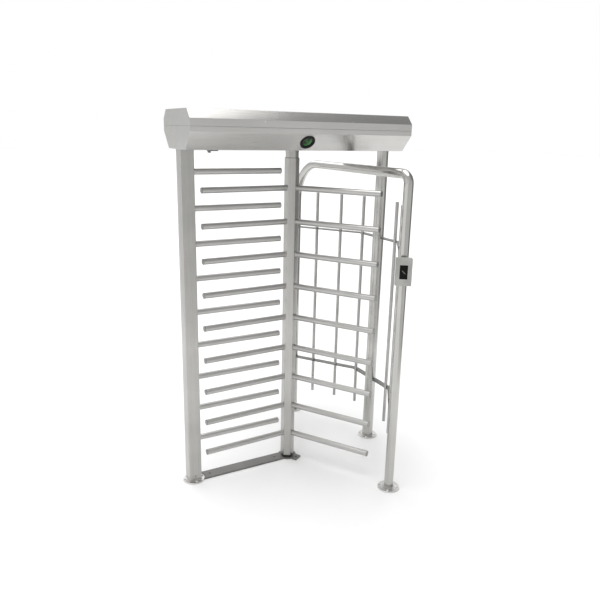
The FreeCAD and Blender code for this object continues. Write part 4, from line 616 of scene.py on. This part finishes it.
tray = extruded(rounded(
    [(-231, 2180), (-146, UNDERSIDE), (146, UNDERSIDE), (231, 2180), (231, TRAY_TOP),
     (-231, TRAY_TOP)], 3, keep=(4, 5)), -BEAM_END, BEAM_END, ALONG)
tray_room = extruded(
    [(-229, 2180.8), (-145.1, 2086), (145.1, 2086), (229, 2180.8), (229, 2210), (-229, 2210)],
    2 - BEAM_END, BEAM_END - 2, ALONG)
tray_holes = [extruded(rounded(square(80.2), 4), UNDERSIDE - 4, UNDERSIDE + 6, at(-POST_X, 0))]
for x, radius in ((POST_X, 38.15), (0, 47.8), (LOCK_X, 9.6), (CABLE_X, 12.5)):
    tray_holes.append(turned(rod(radius, UNDERSIDE - 4, UNDERSIDE + 6), at(x, 0), 64))
LAMPS = []  # the place of each lamp, its Z axis out of the lower slope
for side in (-1, 1):
    across, outward = Vector((1, 0, 0)), Vector((0, side * 0.7487, -0.6629))
    facing = Matrix((across, outward.cross(across), outward)).transposed().to_4x4()
    LAMPS.append(at(0, side * 189.39, 2133) @ facing)
    tray_holes.append(turned(rod(42.1, -10, 10), LAMPS[-1], 72))
fit("beam_tray_folded", carve(tray, tray_room, *tray_holes), brushed_beam, "frame", "header_base",
    edge=0.5)

# Roof beam, upper half. The cover that lifts off, folded and brushed from the same sheet as the
# tray, on a strip of grey rubber.
cover = extruded(rounded(
    [(231, 2249), (185, BEAM_TOP), (-185, BEAM_TOP), (-231, 2249), (-231, COVER_FOOT),
     (231, COVER_FOOT)], 3, keep=(4, 5)), -BEAM_END, BEAM_END, ALONG)
cover_room = extruded(
    [(229, 2248.2), (184.1, 2298), (-184.1, 2298), (-229, 2248.2), (-229, 2208), (229, 2208)],
    2 - BEAM_END, BEAM_END - 2, ALONG)
fit("beam_cover_folded", carve(cover, cover_room), brushed_beam, "frame", "header_cover", edge=0.5)


def moulded(name, light, dark, roughness, grain, depth, shine=0.5):
    """Make a plastic or rubber with a moulded grain, grain in mm and depth in microns."""
    material, tree, place = blank_material(name)
    cells = add(tree, "ShaderNodeTexVoronoi", {"Vector": place, "Scale": METRE / grain})
    cloud = add(tree, "ShaderNodeTexNoise", {"Vector": place, "Scale": METRE / 60, "Detail": 4.0})
    tone = add(tree, "ShaderNodeMapRange", {
        "Value": cloud.outputs["Fac"], "From Min": 0.35, "From Max": 0.65})
    colour = add(tree, "ShaderNodeMix", {
        "Factor": tone.outputs["Result"], COLOUR_A: linear(dark), COLOUR_B: linear(light)},
        data_type="RGBA")
    gloss = add(tree, "ShaderNodeMapRange", {
        "Value": cells.outputs["Distance"], "To Min": roughness - 0.06, "To Max": roughness + 0.08})
    close_material(tree, cells.outputs["Distance"], depth, {
        "Base Color": colour.outputs[COLOUR_OUT], "Roughness": gloss.outputs["Result"],
        "Specular IOR Level": shine})
    return material


# EPDM rubber, extruded: grey with a dull bloom.
rubber = moulded("epdm_rubber_extruded", "#858583", "#6f6f6d", 0.7, 0.8, 20)
dress(rubber, "cover_seal", edge=0)

# Cover screws. Four stainless button head screws with hexagon sockets, turned bright, through the
# cover's sides into the tabs inside it.
screws = bmesh.new()
sockets = bmesh.new()
for x in (-290, 290):
    for side in (-1, 1):
        place = at(x, side * 231, 2242) @ spun(-90 * side, "X")
        turn(screws, ((0, -10), (3, -10), (3, 0), (6.5, 0), (6.4, 0.8), (5.6, 2), (4, 2.8),
                      (2.6, 3), (0, 3)), place, 48)
        extrude(sockets, hexagon(1.9), 1.5, 4, place)
fit("cover_button_screws", carve(screws, sockets), ground_steel, "frame", "cover_screws")

# Override lock. A chromed zinc barrel through an oblong plate under the beam, and a brass plug with
# a slot for the key and a cam at its top.
# Chromed zinc is smooth and cool, turned brass yellow with fine rings.
chromed_zinc = bare_metal("zinc_die_cast_chromed", "#8a8a89", "#737372", 0.24, (8, 8, 8), 20, 1)
brass = bare_metal("brass_turned", "#c8a755", "#a5863c", 0.26, (8, 8, 0.8), 20, 3)
oblong = []
for middle, start in ((41, -90), (0, 90)):
    for step in range(17):
        angle = math.radians(start + 180 * step / 16)
        oblong.append((middle + 13 * math.cos(angle), 13 * math.sin(angle)))
lock_plate = extruded(oblong, UNDERSIDE - 11, UNDERSIDE, at(LOCK_X, 0))
fit("override_lock_plate", carve(lock_plate, turned(rod(9.4, 2070, 2090), at(LOCK_X, 0), 64)),
    chromed_zinc, "frame", slot="override_lock", edge=1.2)
lock = turned((
    (5.06, 2064.4), (5.5, 2064), (8.6, 2064), (9.5, 2064.9), (9.5, 2069.4), (9, 2069.8),
    (9, 2070.6), (9.5, 2071), (9.5, 2102), (5.06, 2102)), at(LOCK_X, 0), 64)
fit("override_lock_barrel", lock, chromed_zinc, "frame", "override_lock")
dress(brass, "key_cam", edge=0)

# Indicator lamps. A black moulded ring holds a clear green lens over a board of light emitting
# diodes that show a broad arrow, one lamp on each lower slope of the beam.
# ABS, moulded: black, with a fine grain and little shine.
black_ring = moulded("abs_black_moulded", "#141515", "#0c0d0d", 0.5, 0.7, 10, shine=0.2)
# Polycarbonate, moulded and tinted green: clear, with faint scuffs.
lens_material, tree, place = blank_material("polycarbonate_green_moulded")
cells = add(tree, "ShaderNodeTexVoronoi", {"Vector": place, "Scale": METRE / 5})
cloud = add(tree, "ShaderNodeTexNoise", {"Vector": place, "Scale": METRE / 18, "Detail": 2.0})
tint = add(tree, "ShaderNodeMix", {
    "Factor": cloud.outputs["Fac"], COLOUR_A: linear("#0f6a1c"), COLOUR_B: linear("#1c8a28")},
    data_type="RGBA")
scuffs = add(tree, "ShaderNodeMapRange", {
    "Value": cloud.outputs["Fac"], "From Min": 0.3, "From Max": 0.7,
    "To Min": 0.05, "To Max": 0.16})
close_material(tree, cells.outputs["Distance"], 20, {
    "Base Color": tint.outputs[COLOUR_OUT], "Roughness": scuffs.outputs["Result"], "IOR": 1.58,
    "Specular IOR Level": 0.02, "Transmission Weight": 1.0})
# Light emitting diodes, cast in clear green epoxy: they glow green, in some spots brighter.
diode_material, tree, place = blank_material("epoxy_green_cast_diode")
speckle = add(tree, "ShaderNodeTexNoise", {"Vector": place, "Scale": 160.0, "Detail": 3.0})
glow = add(tree, "ShaderNodeMix", {
    "Factor": speckle.outputs["Fac"], COLOUR_A: linear("#047a0c"), COLOUR_B: linear("#2bcc14")},
    data_type="RGBA")
power = add(tree, "ShaderNodeMapRange", {
    "Value": speckle.outputs["Fac"], "From Min": 0.3, "From Max": 0.7,
    "To Min": 0.5, "To Max": 1.3})
close_material(tree, speckle.outputs["Fac"], 10, {
    "Base Color": glow.outputs[COLOUR_OUT], "Roughness": 0.3, "IOR": 1.54,
    "Specular IOR Level": 0.1, "Emission Color": glow.outputs[COLOUR_OUT],
    "Emission Strength": power.outputs["Result"]})
DIODE_STEP = 4.6
rings, lenses, units, diodes = (bmesh.new() for shape in range(4))
for place in LAMPS:
    turn(rings, ((31, 0.2), (31, 2.4), (33.2, 4.5), (34.4, 5), (44.6, 5), (46.4, 4.2), (47, 2.6),
                 (47, 0), (42, 0), (42, -16), (38, -16), (38, 0.2)), place, 96)
    turn(lenses, ((0, -4), (37.9, -4), (37.9, 0), (30.6, 0), (28, 1.1), (22, 2.2), (12, 3.1),
                  (0, 3.4)), place)
    turn(units, ((0, -16), (37.9, -16), (37.9, -4.2), (36, -4.2), (36, -11), (0, -11)), place)
    for row in range(-6, 7):
        for along in range(-6, 7):
            x, y = DIODE_STEP * along, DIODE_STEP * row
            # the arrow: a shaft along one diagonal and a corner of diodes as its head
            on_shaft = abs(x + y) < 9
            on_head = max(x, -y) > 14 and x - y > 12
            if math.hypot(x, y) < 29 and (on_shaft or on_head):
                turn(diodes, ((0, -11), (2.1, -11), (2.1, -7.4), (1.7, -6.2), (0.9, -5.4),
                              (0, -5.1)), place @ at(x, y), 12)
fit("lamp_black_rings", rings, black_ring, "frame", "lamp_rings")
fit("lamp_green_lenses", lenses, lens_material, "frame", "lamp_lenses")
fit("lamp_diode_boards", units, black_ring, "frame", "lamp_units")
fit("lamp_diodes", diodes, diode_material, "frame", slot="lamp_units")

# Card reader. A grey moulded box on a saddle that is shaped to the front leg, with a window of
# smoked acrylic over its board.
ON_LEG = at(LEG_X, -LEG_Y, 1432)  # on the front leg's axis, at the height of the box's middle
BOX_BACK, BOX_FRONT = 38.5, 78.5  # from the leg's axis
READER = ON_LEG @ spun(-125, "Z") @ ALONG  # its Z axis runs out of the leg to the window
# ABS, moulded: pale grey, with a fine grain.
reader_plastic = moulded("abs_grey_moulded", "#aaaaa7", "#9b9b98", 0.45, 1.0, 14)
saddle = extruded(rounded(square(50, 110), 3), 16.5, BOX_BACK, READER)
fit("reader_saddle_moulded", carve(saddle, turned(rod(28.6, -60, 60), ON_LEG)), reader_plastic,
    "frame", "reader_saddle", edge=0.6)
box = extruded(rounded(square(95, 160), 5, 8), BOX_BACK, BOX_FRONT, READER)
box_room = extruded(rounded(square(89, 154), 3), BOX_BACK + 3, BOX_FRONT - 3, READER)
opening = extruded(rounded(square(46, 82), 1.5), 74, 80, READER)
joint_line = extruded(square(110, 175), 60, 60.8, READER)
kept_core = extruded(rounded(square(93.4, 158.4), 4.2, 8), 59, 62, READER)
fit("reader_box_moulded", carve(box, box_room, opening, carve(joint_line, kept_core)),
    reader_plastic, "frame", "reader_housing", edge=1.2)
# Acrylic, cast and smoked: nearly black, with a clear shine.
smoked = moulded("acrylic_smoked_cast", "#101010", "#080808", 0.12, 6, 2, shine=0.12)
window = extruded(rounded(square(45.8, 81.8), 1.4), 75.4, 78, READER)
extrude(window, rounded(square(56, 92), 3), 72.5, 75.5, READER)
fit("reader_window_pane", window, smoked, "frame", "reader_window", edge=0.3)
# Ink, screen printed in grey: the slanted bar on the pane that marks where a card is held.
grey_print = moulded("ink_grey_screen_printed", "#7b7c7a", "#686967", 0.5, 0.6, 4)
mark = extruded(rounded(square(25, 3.4), 1.6), 77.9, 78.2, READER @ spun(-45, "Z"))
fit("reader_window_mark", mark, grey_print, "frame", slot="reader_window")

# Circuit boards: the reader's behind its window, with the loops of its aerial, and the control
# board in the beam, with terminals, relays, capacitors and chips. Fibreglass, reflow soldered.
BOARD = at(430, 0, 2133.6)  # the middle of the control board's upper face
WAY = 5.08  # from one terminal to the next
# Solder mask, cured: glossy dark green with paler tracks under it. Real tracks are finer; they are
# drawn 4.2 mm apart so that they show.
solder_mask, tree, place = blank_material("fibreglass_board_solder_masked")
tracks = add(tree, "ShaderNodeTexBrick", {
    "Vector": place, "Scale": METRE / 6, "Mortar Size": 0.06, "Mortar Smooth": 0.2,
    "Brick Width": 2.6, "Row Height": 0.7})
weave = add(tree, "ShaderNodeTexNoise", {"Vector": place, "Scale": 400.0, "Detail": 3.0})
mask = add(tree, "ShaderNodeMix", {
    "Factor": weave.outputs["Fac"], COLOUR_A: linear("#174a2a"), COLOUR_B: linear("#1f5a35")},
    data_type="RGBA")
colour = add(tree, "ShaderNodeMix", {
    "Factor": tracks.outputs["Fac"], COLOUR_A: mask.outputs[COLOUR_OUT],
    COLOUR_B: linear("#3f8a55")}, data_type="RGBA")
gloss = add(tree, "ShaderNodeMapRange", {
    "Value": weave.outputs["Fac"], "To Min": 0.22, "To Max": 0.42})
close_material(tree, tracks.outputs["Fac"], 30, {
    "Base Color": colour.outputs[COLOUR_OUT], "Roughness": gloss.outputs["Result"]})
dress(solder_mask, "reader_board", "control_board", edge=0.2)
# Copper, etched: reddish and soft.
copper = bare_metal("copper_etched", "#c98a5e", "#a86c44", 0.3, (4, 4, 4), 10, 4)
aerial = bmesh.new()
for lap in range(4):
    loop = rounded(square(60 - 4 * lap, 104 - 4 * lap), 4, 4)
    sweep(aerial, [READER @ Vector((x, y, 70.8)) for x, y in loop], [0.35] * len(loop), 6, True)
fit("reader_board_aerial", aerial, copper, "frame", slot="reader_board")
# Plastics of the parts on the boards, all moulded or shrunk on: plain colours with a slight shine.
terminal_green = moulded("polyamide_green_moulded", "#2f8f4e", "#257a40", 0.4, 1.0, 10)
relay_blue = moulded("polyester_blue_moulded", "#2b4f8f", "#223f75", 0.35, 1.0, 10)
chip_black = moulded("epoxy_black_moulded", "#242424", "#181818", 0.5, 0.5, 8)
capacitor_sleeve = moulded("pvc_sleeve_shrunk", "#2a3140", "#1e2430", 0.3, 2.0, 4)
# Tin plate on the pins: soft silver.
tin = bare_metal("tin_plated_pin", "#c4c6c8", "#a9abae", 0.28, (3, 3, 3), 8, 3)
terminals = bmesh.new()
terminal_holes = bmesh.new()
pins = bmesh.new()
for side in (-1, 1):
    for middle in (-46, 0, 46):
        block = BOARD @ at(middle, side * 51)
        extrude(terminals, rounded(square(40.6, 10), 0.8, 2), 0, 10.5, block)
        for way in range(8):
            place = block @ at(WAY * (way - 3.5), 0)
            turn(terminal_holes, rod(1.9, 8, 11), place, 14)
            turn(pins, ((0, 7.6), (1.7, 7.6), (1.7, 9), (1.4, 9.3), (0, 9.3)), place, 14)
relays = bmesh.new()
for x in (-60, -37, -14, 9):
    extrude(relays, rounded(square(19, 15.4), 1, 3), 0.3, 15.5, BOARD @ at(x, 28))
capacitors = bmesh.new()
for x, y in ((50, 24), (64, 24), (50, -26), (-70, -24)):
    turn(capacitors, ((0, 0.2), (4.8, 0.2), (5, 0.6), (5, 2), (4.7, 2.4), (5, 2.8), (5, 14.6),
                      (4.6, 15.2), (3.8, 15.2), (3.6, 14.9), (0, 14.9)), BOARD @ at(x, y), 28)
chips = bmesh.new()
for x, y, width, depth, legs in (
        (0, -10, 14, 14, 12), (-36, -18, 9, 6, 6), (34, -4, 9, 6, 6), (-36, -34, 9, 6, 6)):
    extrude(chips, rounded(square(width, depth), 0.4, 2), 0.3, 1.9, BOARD @ at(x, y))
    for leg in range(legs):
        along = (leg - (legs - 1) / 2) * (width - 1) / legs
        for side in (-1, 1):
            extrude(pins, square(0.5, 1.6), 0, 0.7,
                    BOARD @ at(x + along, y + side * (depth / 2 + 0.7)))
for x in (-82, 82):
    for y in (-52, 52):
        turn(pins, ((0, -1), (2.8, -1), (2.8, 1.2), (2, 2), (0, 2)), BOARD @ at(x, y), 24)
small_parts = bmesh.new()
for row, y in enumerate((14, 7, -41)):
    for count in range(17):
        extrude(small_parts, square(2.1, 1.3), 0, 0.9,
                BOARD @ at(-66 + 7.2 * count + 2 * row, y + 1.4 * (count % 2)))
extrude(small_parts, rounded(square(12), 0.6, 2), 69.2, 71, READER @ at(0, 38))
extrude(small_parts, rounded(square(26, 7), 0.6, 2), 63, 71, READER @ at(0, -46))
for name, shape, finish, edge in (
        ("terminal_blocks", carve(terminals, terminal_holes), terminal_green, 0),
        ("pins", pins, tin, 0), ("relays", relays, relay_blue, 0.6),
        ("capacitors", capacitors, capacitor_sleeve, 0), ("chips", chips, chip_black, 0.2),
        ("small_parts", small_parts, chip_black, 0)):
    fit(f"board_{name}", shape, finish, "frame", slot="control_board", edge=edge)
dress(ground_steel, "reader_screws")
# Nylon, moulded: milky white, for the board's standoffs.
nylon = moulded("nylon_moulded", "#d6d3c8", "#c4c0b3", 0.45, 0.8, 8)
dress(nylon, "board_standoffs")

# Power supply. A folded aluminium box with a perforated lid and a strip of seven screw terminals at
# its inner end, screwed to the mechanism plate.
# Aluminium sheet, pressed: pale, with straight lines from rolling.
pressed_aluminium = bare_metal(
    "aluminium_sheet_pressed", "#c6c8ca", "#b2b4b7", 0.36, (60, 2, 60), 60, 4)
PLATE_FACE = 2120  # height of the mechanism plate's upper face
SUPPLY = at(-520, 0, PLATE_FACE)
STRIP_X = 70.5  # from the middle of the supply to its terminals
case = extruded(rounded(square(159, 97), 1.2, 3), 0, 38, SUPPLY)
case_room = extruded(square(156, 94), 1.5, 36.5, SUPPLY)
terminal_bay = extruded(square(16, 100), 14, 40, SUPPLY @ at(74, 0))
vents = bmesh.new()
for row in range(9):
    for along in range(15):
        extrude(vents, hexagon(2.4), 35, 39,
                SUPPLY @ at(-68 + 8 * along + 4 * (row % 2), -34 + 8.5 * row))
fit("supply_case_perforated", carve(case, case_room, terminal_bay, vents), pressed_aluminium,
    "frame", "power_supply", edge=0.3)
strip = extruded(rounded(square(13.4, 88), 0.8, 2), 3, 17, SUPPLY @ at(STRIP_X, 0))
strip_screws = bmesh.new()
for way in range(7):
    place = SUPPLY @ at(STRIP_X, -36 + 12 * way)
    extrude(strip, square(13.4, 1.2), 17, 22, place @ at(0, -6))
    turn(strip_screws, ((0, 16.9), (3.2, 16.9), (3.2, 18.4), (2.8, 19), (0, 19)), place, 20)
fit("supply_terminal_strip", strip, chip_black, "frame", slot="power_supply")
fit("supply_terminal_screws", strip_screws, zinc_steel, "frame", slot="power_supply")

# Lock solenoids. Each is a coil wound on a nylon bobbin in a zinc plated steel yoke, on a folded
# stand beside its pawl.
# Polyester tape, wound: amber, with a soft shine.
coil_tape = moulded("polyester_tape_wound", "#b9842a", "#9c6a1c", 0.4, 2.5, 30)
PIN_X, PIN_Y = -32.55, 99.62  # the axis of a pawl's pin
COIL_OUT = 57.5  # from that axis to the middle of the coil
for word, side in (("exit", 1), ("entry", -1)):
    seat = at(PIN_X, side * PIN_Y, PLATE_FACE) @ spun(240 * side, "Z")
    lying = seat @ at(-40, side * COIL_OUT, 77) @ spun(90, "X")  # its Z axis is the plunger's
    yoke = bmesh.new()
    for start in (-27.5, 24.5):
        extrude(yoke, rounded(square(44, 40), 2, 3), start, start + 3, lying)
    extrude(yoke, [(-22, -20), (22, -20), (22, -17), (-22, -17)], -25, 25, lying)
    fit(f"{word}_solenoid_yoke", carve(yoke, turned(rod(5.3, -30, 30), lying, 40)), zinc_steel,
        "frame", *(("lock_solenoids",) if side == 1 else ()), slot="lock_solenoids", edge=0.5)
    bobbin = turned(((5.3, -24.4), (16.8, -24.4), (16.8, -22), (7, -22), (7, 22), (16.8, 22),
                     (16.8, 24.4), (5.3, 24.4)), lying, 48)
    fit(f"{word}_solenoid_bobbin", bobbin, nylon, "frame", slot="lock_solenoids")
    winding = [(7.1, -21.8)]
    for lap in range(12):
        along = 3.6 * lap
        winding += [(15.6, -21.6 + along), (16.1, -21.4 + along), (16.1, -18.4 + along)]
    coil = turned(winding + [(15.6, 21.8), (7.1, 21.8)], lying, 48)
    fit(f"{word}_solenoid_coil", coil, coil_tape, "frame", slot="lock_solenoids")
    stand = extruded(
        [(-13, 0), (-11, 0), (-11, 55), (11, 55), (11, 0), (13, 0), (13, 57), (-13, 57)], -16, 16,
        seat @ at(-43, side * COIL_OUT) @ spun(90, "X"))
    fit(f"{word}_solenoid_stand", stand, zinc_steel, "frame", slot="lock_solenoids", edge=0.6)

# Floor and surroundings: a pale matt floor that turns greyer outside the picture, and a sky that
# is dimmer high in front of the turnstile, with one soft bright panel behind it that the polished
# portal shows as a line. One broad soft lamp hangs overhead.
FRONT_RIGHT, RIGHT, REAR_LEFT = (0.545, -0.839, 0), (0.995, -0.0995, 0), (-0.31, 0.95, 0)


def toned(tree, where, way, start, end, near, far):
    """Pass smoothly from one tone to another between two distances along a direction."""
    along = add(tree, "ShaderNodeVectorMath", {0: where, 1: way}, operation="DOT_PRODUCT")
    share = add(tree, "ShaderNodeMapRange", {
        "Value": along.outputs["Value"], "From Min": start, "From Max": end},
        interpolation_type="SMOOTHSTEP")
    return add(tree, "ShaderNodeMix", {
        "Factor": share.outputs["Result"], COLOUR_A: near, COLOUR_B: far},
        data_type="RGBA").outputs[COLOUR_OUT]


floor_material, tree, place = blank_material("studio_floor_painted")
bearing = add(tree, "ShaderNodeVectorMath", {0: place}, operation="NORMALIZE").outputs["Vector"]
grey = toned(tree, bearing, RIGHT, 0.75, 0.95, linear("#cfcfcf"), linear("#7c7c7c"))
paint = toned(tree, place, FRONT_RIGHT, 1.9, 3.4, linear("#f5f5f5"), grey)
left = toned(tree, bearing, REAR_LEFT, 0.85, 0.97, paint, linear("#dcdcdc"))
paint = toned(tree, place, (-1, 0.052, 0), 1.85, 3.0, paint, left)
close_material(tree, None, 0, {
    "Base Color": paint, "Roughness": 0.8, "Specular IOR Level": 0.1})
floor = put("studio_floor", as_mesh("studio_floor", extruded(square(120 * METRE), -20, 0)))
floor.data.materials.append(floor_material)

sky = bpy.data.worlds.new("studio_sky")
bpy.context.scene.world = sky
sky.use_nodes = True
tree = sky.node_tree
tree.nodes.clear()
way = add(tree, "ShaderNodeTexCoord").outputs["Generated"]
front = toned(tree, way, (0.8, 0.6, 0), -0.9, 0.5, linear("#e8e8e8"), linear("#939393"))
high = toned(tree, way, (0, 1, 0), 0.0, 0.4, front, linear("#fafafa"))
low = toned(tree, way, FRONT_RIGHT, 0.05, 0.6, linear("#ffffff"), linear("#dedede"))
low = toned(tree, way, RIGHT, 0.8, 0.95, low, linear("#7c7c7c"))
low = toned(tree, way, REAR_LEFT, 0.94, 0.99, low, linear("#dcdcdc"))
colour = toned(tree, way, (0, 0, 1), 0.28, 0.46, low, high)
toward = add(tree, "ShaderNodeVectorMath", {0: way, 1: (-0.05, 0.84, 0.54)},
             operation="DOT_PRODUCT")
soft_panel = add(tree, "ShaderNodeMapRange", {
    "Value": toward.outputs["Value"], "From Min": 0.955, "From Max": 0.99, "To Min": 1.0,
    "To Max": 2.6}, interpolation_type="SMOOTHSTEP")
background = add(tree, "ShaderNodeBackground", {
    "Color": colour, "Strength": soft_panel.outputs["Result"]})
add(tree, "ShaderNodeOutputWorld", {"Surface": background.outputs["Background"]})

lamp = put("overhead_soft_lamp", bpy.data.lights.new("overhead_soft_lamp", "SUN"))
lamp.data.energy = 1.8
lamp.data.angle = math.radians(62)
lamp.rotation_euler = Vector((-0.12, 0.05, 0.99)).to_track_quat("Z", "Y").to_euler()

# Camera: a lens of 36.7 mm above head height, turned 29 degrees from the beam's front and looking
# 15 degrees down. Its place is in metres.
yaw, pitch, roll = map(math.radians, (28.97, 15.37, -1.269))
forward = Vector((
    math.sin(yaw) * math.cos(pitch), math.cos(yaw) * math.cos(pitch), -math.sin(pitch)))
level = Vector((math.cos(yaw), -math.sin(yaw), 0))
down = forward.cross(level)
right_way = level * math.cos(roll) + down * math.sin(roll)
down_way = down * math.cos(roll) - level * math.sin(roll)
camera = put("camera", bpy.data.cameras.new("camera"))
camera.data.lens = 36.684
camera.data.clip_end = 200
camera.matrix_world = at(-1.8077, -3.4050, 2.1903) @ Matrix(
    (right_way, -down_way, -forward)).transposed().to_4x4()
bpy.context.scene.camera = camera
bpy.context.scene.view_settings.view_transform = "Standard"
